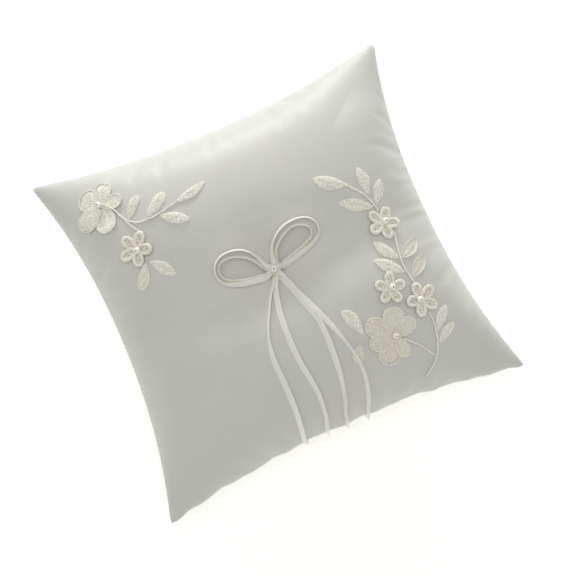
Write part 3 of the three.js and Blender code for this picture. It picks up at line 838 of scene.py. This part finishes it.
for name, (body, stops) in LOOPS.items():
    dense = spline(stops, LOOP_STOPS)
    reach = np.hypot(dense[:, 0], dense[:, 1])
    lift = lift_for(dense[:, 2]) + LOOP_RISE * smoothstep(5, 18, reach)
    points, normals = FRONT.over(*(dense[:, :2].T * LOOP_SCALE), lift)
    points, normals, rolls = even(points, normals, dense[:, 2], back_to_knot=True)
    loop = ribbon(points, normals, rolls).build(
        f"{name}_ribbon", RIBBON, "ribbon", [name], ride=False)
    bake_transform(loop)

for i, (name, stops) in enumerate(TAILS.items(), 1):
    dense = spline(np.array(stops) * [1, DEPTH / 2, 1], TAIL_STOPS)
    share = dense[:, 1] / (DEPTH / 2)
    s = dense[:, 0] / (WIDTH / 2 - PULL_X * bow(share))
    lift = lift_for(dense[:, 2])
    if name in TAIL_LIFTS:
        lift = lift + np.interp(share, *TAIL_LIFTS[name])
    points, normals = FRONT.at(s, -share, lift)
    edge, out = points[-1], unit(normals[-1] * [1, 1, 0])
    drop = np.linspace(edge[2], TAIL_FLOOR_GAP, DROP_STOPS)[1:]
    hanging = np.stack([np.full_like(drop, edge[0]), np.full_like(drop, edge[1]), drop], 1)
    hanging += out * (TAIL_SWAY * np.sin(np.linspace(0, 3.0 + 0.4 * i, len(drop))))[:, None]
    points = np.vstack([points, hanging])
    normals = np.vstack([normals, np.tile(out, (len(drop), 1))])
    rolls = np.concatenate([dense[:, 2], dense[-1, 2] * np.linspace(1, 0.3, len(drop))])
    points, normals, rolls = even(points, normals, rolls)
    tail = ribbon(points, normals, rolls).build(
        f"{name}_ribbon", RIBBON, "ribbon", [name, f"{name}_end"], ride=False)
    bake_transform(tail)
    route = resample(points, 60) * MM


def knot_shape():
    """A gathered core with two turns of ribbon round it."""
    shape = Shape()
    around, up = 48, 25
    phi = turns(around)
    rings = []
    for theta in np.linspace(0.02, math.pi - 0.02, up):
        fold = 1 + 0.06 * np.sin(5 * phi + 2.2 * theta)
        level = np.full(around, math.cos(theta))
        ball = np.stack([np.cos(phi) * math.sin(theta), np.sin(phi) * math.sin(theta), level], 1)
        rings.append(KNOT + ball * fold[:, None] * KNOT_HALF * KNOT_FILL)
    shape.loft(np.array(rings)[:, ::-1])
    corner = turns(14)[:, None]
    wide, thick = KNOT_TURN_HALF * np.cos(corner), KNOT_TURN_THICK * np.sin(corner)
    for turn in KNOT_TURN_ANGLES:
        angle = math.radians(turn)
        axis = np.array([math.cos(angle), math.sin(angle), 0])
        across = np.array([-math.sin(angle), math.cos(angle), 0])
        rings = []
        for a in turns(72):
            out = across * math.cos(a) + np.array([0, 0, 1]) * math.sin(a)
            reach = 1 / math.hypot(math.cos(a) / KNOT_HALF[1], math.sin(a) / KNOT_HALF[2])
            rings.append(KNOT + out * reach * KNOT_TURN_SIZE + axis * wide + out * thick)
        shape.loft(np.array(rings), closed=True)
    return shape


knot_shape().build("bow_knot_ribbon", RIBBON, "ribbon", ["bow_knot"])

# ---------- cords, leaves and flowers of the lace ----------
LACE_REST = 0.05
LACE_LEAST = 0.08  # the thinnest a motif gets
STITCH = 0.78  # width of one satin stitch
CORD_STEP = 0.2
STEM_RADIUS, STEM_FLAT = 0.55, 0.85
LEAF_ROOT = 1.3  # how far a leaf runs on under its stem
LEAF_PICOT = 0.09
LEAF_HEIGHTS = {"padded": 1.15, "full": 1.5, "flat": 0.7}
GRAIN = 0.3
PETAL_STITCH = 0.72
PETAL_START = 0.9
PETAL_NECK = 0.34
PETAL_SCALLOP = 0.035
PETAL_HEIGHTS = {"padded": 1.1, "full": 1.7, "flat": 0.7}
OUTLINE_RADIUS, OUTLINE_LIFT = 0.46, 0.15
LOOP_START = 1.2
LOOP_HALF, LOOP_TUBE = 0.385, 0.125  # shares of a small petal's length
LOOP_LOW, LOOP_HIGH = 1.0, 2.0
LOOP_STITCH = 0.85


def twisted(points, normals, radius, flat=1.0, pitch=1.3, taper=0.25, groove=0.22, around=10):
    """A two-ply cord along a route, thinner at its ends."""
    tangent, side, normal = frames(points, normals)
    length = distances(points)
    share = length / length[-1]
    size = radius * (1 - taper * np.abs(2 * share - 1) ** 4)
    phi = turns(around)
    wound = 2 * (phi - math.pi * length[:, None] / pitch)
    ply = 1 - groove * (0.5 - 0.5 * np.cos(wound))
    reach = size[:, None] * ply
    rings = (
        points[:, None]
        + side[:, None] * (reach * np.cos(phi))[..., None]
        + normal[:, None] * (reach * np.sin(phi) * flat)[..., None]
    )
    return rings[:, ::-1]


def stem_shape(shape, places):
    """A stem through stops of [x, y] or [x, y, how much higher it lies there]."""
    places = np.array([[*p, 0.0][:3] for p in places], float)
    route = spline(places, int(length_of(places[:, :2]) / CORD_STEP))
    lift = STEM_RADIUS * STEM_FLAT + LACE_REST + route[:, 2]
    points, normals = FRONT.over(route[:, 0], route[:, 1], lift)
    return shape.loft(twisted(points, normals, STEM_RADIUS, STEM_FLAT))


def rounded(phase):
    """Height share of a row of round threads lying side by side."""
    return np.abs(np.sin(math.pi * phase)) ** 0.6


def thread_relief(phase, seed=0.0):
    """Round threads side by side, no two quite the same height."""
    number = np.floor(phase)
    uneven = 0.5 + 0.5 * np.sin(number * 12.9898 + seed * 4.1)
    return rounded(phase) * (0.75 + 0.25 * uneven)


def grain(x, y, seed):
    """Knots of thread that stand up here and there, about a millimetre apart."""
    first = np.sin(4.3 * x + 1.9 * np.sin(1.3 * y + seed))
    first = first * np.sin(4.7 * y + 1.7 * np.sin(1.1 * x - seed))
    second = np.sin(2.6 * x - 2.1 * y + seed) * np.sin(3.1 * y + 1.4 * x + 2 * seed)
    return 0.65 * first + 0.35 * second


def leaf_outline(u, blunt):
    """Half width share along a leaf: 0 blunt is a lens with two points, 1 has a full round tip."""
    lens = np.sin(math.pi * np.clip(u, 0, 1) ** 0.9) ** 0.9
    full = np.sin(math.pi * np.clip(u, 0, 1) ** 1.25) ** 0.5
    return 0.1 + 0.9 * (lens * (1 - blunt) + full * blunt)


def motif(shape, x, y, up, uv, lift=0.0):
    """A flat motif whose top stands up above the satin by its thickness and its lift."""
    top = np.maximum(up, LACE_LEAST) + LACE_REST + lift
    foot = np.full(x.shape, LACE_REST * 0.4 + lift * 0.9)
    return shape.slab(FRONT.over(x, y, top)[0], FRONT.over(x, y, foot)[0], uv)


def leaf_shape(shape, base_at, tip, width, style, blunt, seed):
    """A leaf of slanted satin stitches that meet along a midrib."""
    length = np.linalg.norm(tip - base_at)
    way = (tip - base_at) / length
    base_at = base_at - way * LEAF_ROOT
    length = length + LEAF_ROOT
    cross = np.array([-way[1], way[0]])
    stitches = int(length / STITCH)
    u = np.linspace(0, 1, stitches * 6 + 1)[:, None]
    v = np.linspace(-1, 1, 23)[None, :]
    phase = u * stitches + 0.2 * np.sin(9 * u + seed) + 0.5 * (v > 0)
    thread = thread_relief(phase, seed)
    half = width / 2 * leaf_outline(u, blunt) * (1 + LEAF_PICOT * (thread - 0.5))
    slant = 0.6 * np.abs(v) * half * (1 - u)
    bend = 0.05 * length * np.sin(math.pi * u) * math.sin(seed * 1.7)
    along = u * length + slant
    side = v * half + bend
    x = base_at[0] + along * way[0] + side * cross[0]
    y = base_at[1] + along * way[1] + side * cross[1]
    rim = np.abs(v) * np.ones_like(u)
    ends = np.sin(math.pi * np.clip(u, 0.001, 0.999)) ** 0.4
    if style in LEAF_HEIGHTS:
        height = LEAF_HEIGHTS[style]
        dome = (1 - rim**2.4) ** 0.6 * ends
        midrib = np.exp(-((v / 0.11) ** 2)) * smoothstep(0.0, 0.12, u) * smoothstep(0.98, 0.8, u)
        up = height * (0.26 + 0.74 * dome) - 0.28 * height * midrib
        up = up - 0.3 * min(1, height) * (1 - thread) * (0.5 + 0.5 * dome)
        up = up + GRAIN * grain(x, y, seed) * (0.4 + 0.6 * dome)
    else:
        edge = np.maximum(rim, np.abs(2 * u - 1) ** 6)
        band = smoothstep(0.66, 0.76, edge)
        round_rim = np.sqrt(np.clip(1 - ((edge - 0.88) / 0.17) ** 2, 0, 1))
        veins = np.exp(-((v / 0.07) ** 2)) * 0.3
        up = 0.14 + 0.1 * rounded(phase / 2) * (1 - band) + veins
        up = up + band * (0.18 + 0.42 * round_rim) - 0.14 * (1 - thread) * band
    return motif(shape, x, y, up, uv_grid((v + 1) / 2, u * length / 10))


def petal_places(middle, angle, reach, half_width, u, v, scallop=0.0):
    """Plan places of a rounded petal, u along it and v across."""
    end = reach * (0.6 + 0.4 * np.sqrt(np.clip(1 - np.abs(v) ** 2.5, 0, 1)))
    end = end * (1 + scallop * np.cos(3.2 * math.pi * v))
    along = PETAL_START + (end - PETAL_START) * u
    grow = np.sin(np.minimum(along / (0.62 * reach), 1) * math.pi / 2)
    grow = PETAL_NECK + (1 - PETAL_NECK) * grow
    side = v * half_width * grow
    x = middle[0] + along * math.cos(angle) - side * math.sin(angle)
    y = middle[1] + along * math.sin(angle) + side * math.cos(angle)
    return x, y


def petal_shape(shape, middle, angle, reach, half_width, style, lift, seed):
    """A rounded petal of threads that run out from the flower's heart."""
    threads = max(9, int(2 * half_width / PETAL_STITCH))
    v = np.linspace(1, -1, threads * 6 + 1)[None, :]
    u = np.linspace(0, 1, 49)[:, None]
    phase = (v + 1) / 2 * threads + 0.5 * u + 0.12 * np.sin(11 * u + seed)
    thread = thread_relief(phase, seed)
    scallop = PETAL_SCALLOP if style in PETAL_HEIGHTS else 0.0
    x, y = petal_places(middle, angle, reach, half_width, u, v, scallop)
    side = np.abs(v) * np.ones_like(u)
    end = u * np.ones_like(v)
    edge = np.maximum(side, end**1.6)
    if style in PETAL_HEIGHTS:
        dome = (1 - side**2.8) ** 0.55 * np.sqrt(np.clip(1 - end**4.5, 0, 1))
        swell_out = 0.35 + 0.65 * np.sin(math.pi * np.clip(0.12 + 0.72 * end, 0, 1))
        up = PETAL_HEIGHTS[style] * (0.22 + 0.78 * dome * swell_out)
        up = up - 0.26 * (1 - thread) * (0.45 + 0.55 * dome)
        up = up + GRAIN * grain(x, y, seed) * (0.4 + 0.6 * dome)
    elif style == "hatched":
        ribs = rounded(end * reach + v * 1.2)
        band = smoothstep(0.74, 0.84, edge)
        up = 0.26 + 0.3 * ribs * (1 - band) + band * 0.42 - 0.2 * (1 - thread) * band
    else:
        band = smoothstep(0.64, 0.72, edge)
        spokes = rounded(phase / 2) * smoothstep(0.45, 0.8, edge)
        rim = np.sqrt(np.clip(1 - ((edge - 0.86) / 0.2) ** 2, 0, 1))
        net = 0.06 * np.maximum(rounded(phase / 2), rounded(end * reach / 1.3))
        up = 0.12 + net + 0.2 * spokes * (1 - band)
        up = up + band * (0.22 + 0.5 * rim) - 0.24 * (1 - thread) * band
    return motif(shape, x, y, up, uv_grid((v + 1) / 2 * threads / 10, u * reach / 10), lift)


def outline_cord(shape, middle, angle, reach, half_width, lift):
    """The beaded cord round a petal's edge."""
    part = np.linspace(0.25, 1, 30)
    v = np.concatenate([np.full(30, -1.0), np.linspace(-1, 1, 60), np.full(30, 1.0)])
    u = np.concatenate([part, np.ones(60), part[::-1]])
    edge = np.stack(petal_places(middle, angle, reach, half_width, u, v), 1)
    edge = resample(edge, int(length_of(edge) / CORD_STEP), 2)
    height = np.full(len(edge), OUTLINE_RADIUS + LACE_REST + lift + OUTLINE_LIFT)
    points, normals = FRONT.over(*edge.T, height)
    return shape.loft(twisted(points, normals, OUTLINE_RADIUS, 1.0, 0.75, 0.3, 0.32))


def loop_petal(shape, centre, normal, direction, reach):
    """A raised petal: a satin-stitched roll bent into a teardrop round a sunken hollow."""
    side = np.cross(normal, direction)
    half, tube = LOOP_HALF * reach, LOOP_TUBE * reach
    count, around = 132, 14
    phi = np.linspace(0, 2 * math.pi, count, endpoint=False)
    part = (1 - np.cos(phi)) / 2
    out = LOOP_START + (reach - tube - LOOP_START) * part
    wide = (half - tube) * np.sin(phi) * (0.7 + 0.3 * part)
    rise = LOOP_LOW + (LOOP_HIGH - LOOP_LOW) * (out / reach) ** 1.3
    path = centre + direction * out[:, None] + side * wide[:, None] + normal * rise[:, None]
    tangent = unit(np.roll(path, -1, 0) - np.roll(path, 1, 0))
    up = unit(normal - tangent * (tangent @ normal)[:, None])
    across = np.cross(up, tangent)
    spin = turns(around)
    stitches = int(length_of(path) / LOOP_STITCH)
    phase = phi[:, None] / (2 * math.pi) * stitches + 0.25 * np.cos(spin)[None]
    size = tube * (0.68 + 0.32 * thread_relief(phase)) * (0.8 + 0.2 * part[:, None])
    rings = (
        path[:, None]
        + across[:, None] * (size * np.cos(spin))[..., None]
        + up[:, None] * (size * np.sin(spin) * 0.9)[..., None]
    )
    shape.loft(rings, closed=True)
    # The hollow's floor.
    rows = np.linspace(0.12, 1, 7)[:, None]
    loop = np.concatenate([path, path[:1]])
    middle = centre + direction * (0.6 * reach) + normal * (LOOP_LOW * 0.6)
    floor = middle + (loop[None] - normal * (0.5 * tube) - middle) * rows[..., None]
    uv = uv_grid(rows, np.linspace(0, 1, len(loop))[None])
    return shape.slab(floor + normal * 0.12, floor - normal * 0.12, uv)


def bead_profile(radius, bore):
    """A bead's half section, with a lip at each end of its bore."""
    start = math.acos(bore / radius)
    angles = np.linspace(-start, start, 40)
    ball = [(radius * math.cos(a), radius * math.sin(a)) for a in angles]
    top = radius * math.sin(start)
    lip = [(bore * 0.93, top - 0.05), (bore * 0.9, top - 0.14)]
    wall = [(bore * 0.9, h) for h in np.linspace(top - 0.4, -top + 0.4, 6)]
    foot = [(bore * 0.9, -top + 0.14), (bore * 0.93, -top + 0.05)]
    return ball + lip + wall + foot


PEARL_RADIUS, PEARL_BORE, PEARL_SEGMENTS = 1.7, 0.46, 40
PEARL_TILT, BOW_PEARL_TILT = (-0.03, -0.12, 0), (-0.04, -0.15, 0)
PEARL_LIFT_LARGE, PEARL_LIFT_SMALL = 2.5, 2.9


def add_pearl(node, place, height, tilt):
    """A pearl at a plan place, its middle at a height above the satin."""
    centre, normal = FRONT.over(*place, height)
    profile = bead_profile(PEARL_RADIUS, PEARL_BORE)
    Shape().revolve(profile, centre, normal + np.array(tilt), PEARL_SEGMENTS).build(
        f"{node}_bead", PEARL, "pearl", [node])


LEFT_SPRAY = np.array([-WIDTH / 2 + 32, DEPTH / 2 - 29])
RIGHT_SPRAY = np.array([WIDTH / 2 - 42, -DEPTH / 2 + 53])
LEAVES = [  # base, tip, width, style, bluntness
    ("left_leaf", LEFT_SPRAY, [
        [[13.8, -14.3], [21.2, -5.9], 5.5, "padded", 0.8],
        [[23.2, -18], [33.9, -10.5], 6.3, "padded", 0.9],
        [[38.6, -17.8], [53.8, -14.4], 5, "padded", 0.4],
        [[28.6, -21.4], [40.3, -29.2], 5.9, "padded", 0.15],
        [[11.6, -40], [5.2, -49.8], 6.3, "padded", 0.95],
        [[15.6, -40.2], [23.6, -50.4], 6, "padded", 0.6],
    ]),
    ("right_leaf", RIGHT_SPRAY, [
        [[-10.9, 66], [-24.2, 74.1], 7.2, "padded", 0.3],
        [[-2.8, 51.8], [-17.2, 59], 6.8, "padded", 0.1],
        [[-1.6, 58.8], [-1.3, 71.9], 6, "flat", 0.1],
        [[1, 53], [7.5, 63], 5.5, "flat", 0.4],
        [[-1.9, 23.8], [-9.3, 35.6], 6, "full", 0.3],
        [[-2.4, 16.7], [-13.1, 26.6], 6.3, "full", 0.3],
        [[1, 23], [11.9, 29.2], 6.6, "outlined", 0.4],
        [[1.8, 12.8], [11.6, 19.9], 6.2, "outlined", 0.4],
        [[3.4, -15.4], [12, -6.8], 5.2, "flat", 0.5],
        [[2.4, -21.6], [12.4, -16], 5.2, "flat", 0.4],
        [[-32.8, -2.2], [-37.4, 10.6], 6.4, "padded", 0.85],
        [[-35.8, -7.2], [-40.6, -15.4], 5.8, "outlined", 0.7],
    ]),
]
for prefix, origin, rows in LEAVES:
    for i, (base_at, tip, width, style, blunt) in enumerate(rows, 1):
        shape = Shape()
        leaf_shape(shape, origin + base_at, origin + tip, width, style, blunt, 0.9 * i)
        shape.build(f"{prefix}_{i}_embroidery", NET if style == "outlined" else LACE, "lace",
                    [f"{prefix}_{i}"])

STEMS = [
    ("left_main_stem", LEFT_SPRAY, [
        [1.9, -0.6, 1.0], [5.2, -3.4, 0.9], [7.9, -7.6, 0.4], [9.4, -11.4], [11.8, -15.4],
        [16.3, -19], [21.8, -19.9], [27.5, -19.9], [32.7, -19.1], [38, -18],
    ]),
    ("left_branch_stem", LEFT_SPRAY, [[11, -15.6, 0.2], [12.4, -18], [14, -20.8], [16.6, -24.6]]),
    ("right_upper_stem", RIGHT_SPRAY, [
        [-11, 66, 0.3], [-9, 64], [-6.3, 61.2], [-3.5, 57.8], [-1.2, 52.2], [-0.4, 48.2, 0.2],
    ]),
    ("right_middle_stem", RIGHT_SPRAY, [
        [2.4, 36, 0.2], [-0.1, 25.4], [-0.9, 17.9], [0.1, 12.3], [0.8, 7],
    ]),
    ("right_lower_stem", RIGHT_SPRAY, [
        [1.5, -6.6, 0.2], [2, -11.6], [1.6, -16.6], [0.1, -22], [-2.9, -27.6], [-6.8, -32],
        [-10.7, -35.5],
    ]),
    ("right_branch_stem", RIGHT_SPRAY, [
        [-15.6, -12.6, 1.0], [-13.2, -14.4, 0.9], [-10.2, -17.3, 0.3], [-6.9, -21.4],
        [-3.4, -26.6, 0.2],
    ]),
]
for name, origin, places in STEMS:
    shape = Shape()
    stem_shape(shape, [[origin[0] + p[0], origin[1] + p[1], *p[2:]] for p in places])
    shape.build(f"{name}_cord", LACE, "lace", [name])

LARGE_FLOWERS = [  # each petal's direction, length, half width, style and lift
    ("left_large_flower", LEFT_SPRAY + [0.8, -0.7], (0.7, -0.5), [
        [130, 12.2, 5.6, "padded", 0.0], [54, 11.8, 4.6, "padded", 0.1],
        [-14, 12.6, 3.6, "hatched", 0.15], [-86, 15.6, 5.4, "outlined", 0.0],
        [-146, 14.6, 5.4, "full", 0.3],
    ]),
    ("right_large_flower", RIGHT_SPRAY + [-18.0, -10.5], (-0.7, 1.1), [
        [-134, 14, 5.3, "flat", 0.0], [176, 13.6, 3.9, "padded", 0.1],
        [135, 15.8, 4.8, "padded", 0.0],
        [77, 13.8, 5.1, "outlined", 0.2], [22, 12, 3.5, "hatched", 0.1],
        [-82, 10.6, 3.1, "hatched", 0.1],
    ]),
]
for name, middle, heart, petals in LARGE_FLOWERS:
    shape, rims = Shape(), Shape()
    for k, (angle, reach, half_width, style, lift) in enumerate(petals, 1):
        petal = (middle, math.radians(angle), reach, half_width)
        petal_shape(shape, *petal, style, lift, k)
        outline_cord(rims, *petal, lift)
    shape.build(f"{name}_embroidery", LACE if name.startswith("left") else NET, "lace", [name])
    rims.build(f"{name}_outlines", LACE, "lace")
    add_pearl(f"{name}_pearl", middle + heart, PEARL_LIFT_LARGE, PEARL_TILT)

SMALL_FLOWERS = [
    ("left_small_flower", LEFT_SPRAY + [11.2, -31.0], (0.9, -1.5), 9.3, 45),
    ("right_upper_flower", RIGHT_SPRAY + [-0.9, 42.0], (0.7, 0.3), 8.9, 53),
    ("right_middle_flower", RIGHT_SPRAY + [-12.1, 11.4], (0.7, 0.3), 8.3, 70),
    ("right_lower_flower", RIGHT_SPRAY + [0.4, 0.9], (-1.6, 0.3), 9.0, 24),
]
BUTTON = [(0.02, 0.3), (1.5, 0.3), (1.75, 0.8), (1.4, 1.45), (0.7, 1.7), (0.02, 1.75)]
for name, middle, heart, reach, first in SMALL_FLOWERS:
    shape = Shape()
    centre, normal = FRONT.over(*middle)
    ahead = unit(np.cross(normal, np.cross([1.0, 0, 0], normal)))
    beside = np.cross(normal, ahead)
    for k in range(5):
        turn = math.radians(first + 72 * k)
        loop_petal(shape, centre, normal, ahead * math.cos(turn) + beside * math.sin(turn), reach)
    shape.revolve(BUTTON, centre, normal, 30)
    shape.build(f"{name}_embroidery", LACE, "lace", [name])
    add_pearl(f"{name}_pearl", middle + heart, PEARL_LIFT_SMALL, PEARL_TILT)

bow_pearl_height = KNOT[2] + KNOT_HALF[2] + 0.55 * PEARL_RADIUS - FRONT.over(0.0, 0.0)[0][2]
add_pearl("bow_pearl", KNOT[:2] + [-0.45, -2.3], bow_pearl_height, BOW_PEARL_TILT)

# ---------- threads and filling ----------
THREAD_INSET = 2.0
SEAM_THREAD, CLOSING_THREAD, TACK_THREAD = 0.2, 0.17, 0.19  # radii
SEAM_THREAD_RISE = 0.07
OPENING_LENGTH = 80.0
LADDER_PITCH, LADDER_RISE, LADDER_OUT = 5.0, 0.7, 0.35  # the hand-sewn closing's stitches
TACK_OFFSETS = (-0.2, 0.2)
FILLING_CELLS = 72
FILLING_INSET = 5.5


def sew(shape, route, facing, radius, around=6):
    """One strand of thread along a route."""
    normals = np.tile(facing, (len(route), 1))
    return shape.loft(twisted(route, normals, radius, taper=0, around=around))


def seam_route(stops, count):
    """Points along the seam at even steps, inside it by the thread's inset."""
    table = []
    for (s0, t0), (s1, t1) in zip(stops, stops[1:]):
        part = np.linspace(0, 1, 60, endpoint=False)
        table.append(np.stack([s0 + (s1 - s0) * part, t0 + (t1 - t0) * part], 1))
    table.append(np.array([stops[-1]], float))
    table = np.concatenate(table)
    x, y = plan_point(table[:, 0], table[:, 1], THREAD_INSET)
    y = y - seam_wave(table[:, 0], table[:, 1])
    return resample(np.stack([x, y, np.full(len(x), SEAM_HEIGHT)], 1), count)


share = OPENING_LENGTH / WIDTH
seam = seam_route([(share, -1), (1, -1), (1, 1), (-1, 1), (-1, -1), (-share, -1)], 1500)
seam[:, 2] += SEAM_THREAD_RISE * np.sin(distances(seam) * 2 * math.pi / STITCH_PITCH)
sew(Shape(), seam, (0, 0, 1.0), SEAM_THREAD).build(
    "seam_stitching", THREAD, "thread", ["seam_thread"])

half = OPENING_LENGTH / 2 - LADDER_PITCH
ladder = []
for i, x in enumerate(np.arange(-half, half + 0.1, LADDER_PITCH / 2)):
    side, rise = (FRONT, LADDER_RISE) if i % 4 in (1, 2) else (BACK, -LADDER_RISE)
    at = side.at(np.array([x / (WIDTH / 2)]), np.array([-1.0]))[0][0]
    ladder.append(at + [0, LADDER_OUT, rise])
ladder = np.array(ladder)
route = spline(ladder, int(length_of(ladder) / 0.25))
sew(Shape(), route, (0, -1.0, 0), CLOSING_THREAD).build(
    "closing_stitches", THREAD, "thread", ["closure_stitching"])

low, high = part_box("bow_tack_thread")
tack = np.array((low + high) / 2) / MM
tall = (high.z - low.z) / MM
points = tack + np.linspace(-tall / 2, tall / 2, 24)[:, None] * [0, 0, 1]
tack_shape = Shape()
for offset in TACK_OFFSETS:
    sew(tack_shape, points + [offset, 0, 0], (0, 1.0, 0), TACK_THREAD, around=10)
tack_shape.build("tack_stitches", THREAD, "thread", ["bow_tack_thread"])

fill_lines = grid_lines(FILLING_CELLS)
fs, ft = np.meshgrid(fill_lines, fill_lines)
lump = 0.7 * np.sin(fs * 13 + 2 * np.sin(ft * 7)) * np.sin(ft * 11 + 1.3)
lump = lump + 0.4 * np.sin(fs * 29 + 1) * np.sin(ft * 31)
lump = lump * smoothstep(1.0, 0.85, np.abs(fs)) * smoothstep(1.0, 0.85, np.abs(ft))


def stuffed(surface, sign):
    """One side of the filling, clear of its panel and with lumps in it."""
    x, y = plan_point(fs, ft, FILLING_INSET)
    height = (surface(fs, ft)[..., 2] - SEAM_HEIGHT) * 0.93
    level = SEAM_HEIGHT + height + sign * (0.4 - 1.4 * swell(fs, ft) + 0.5 * lump)
    return np.stack([x, y, level], -1)


filling = Shape().slab(stuffed(crown, 1), stuffed(base, -1), panel_uv(fill_lines)).build(
    "fibre_filling", FILLING, "filling", ["filling"])

# ---------- floor and light ----------
FLOOR_HALF, FLOOR_GAP = 6.0, 0.0002
KEY_LIGHT = ((0.38, 1.38, 0.11), 1.1, 0.16, 13.8)  # place, width, height and power
OVERHEAD_LIGHT = ((-0.03, 0.05, 1.25), 0.9, 0.9, 4.5)
LIGHT_AIM = Vector((0, 0, 0.03))
SKY_STRENGTH = 0.49

corners = [(-1, -1), (1, -1), (1, 1), (-1, 1)]
corners = [(x * FLOOR_HALF, y * FLOOR_HALF, 0) for x, y in corners]
floor_mesh = bpy.data.meshes.new("floor")
floor_mesh.from_pydata(corners, [], [(0, 1, 2, 3)])
floor_mesh.materials.append(floor_material())
floor = add_object("floor", floor_mesh)
floor.location.z = -FLOOR_GAP

for name, (place, width, height, power) in (("key", KEY_LIGHT), ("overhead", OVERHEAD_LIGHT)):
    data = bpy.data.lights.new(name, "AREA")
    data.shape, data.size, data.size_y, data.energy = "RECTANGLE", width, height, power
    point_at(add_object(name, data), place, LIGHT_AIM - Vector(place))

world = bpy.data.worlds.new("studio")
bpy.context.scene.world = world
world.use_nodes = True
sky = world.node_tree.nodes["Background"].inputs
sky["Color"].default_value, sky["Strength"].default_value = (1, 1, 1, 1), SKY_STRENGTH
bpy.context.scene.view_settings.view_transform = "Standard"
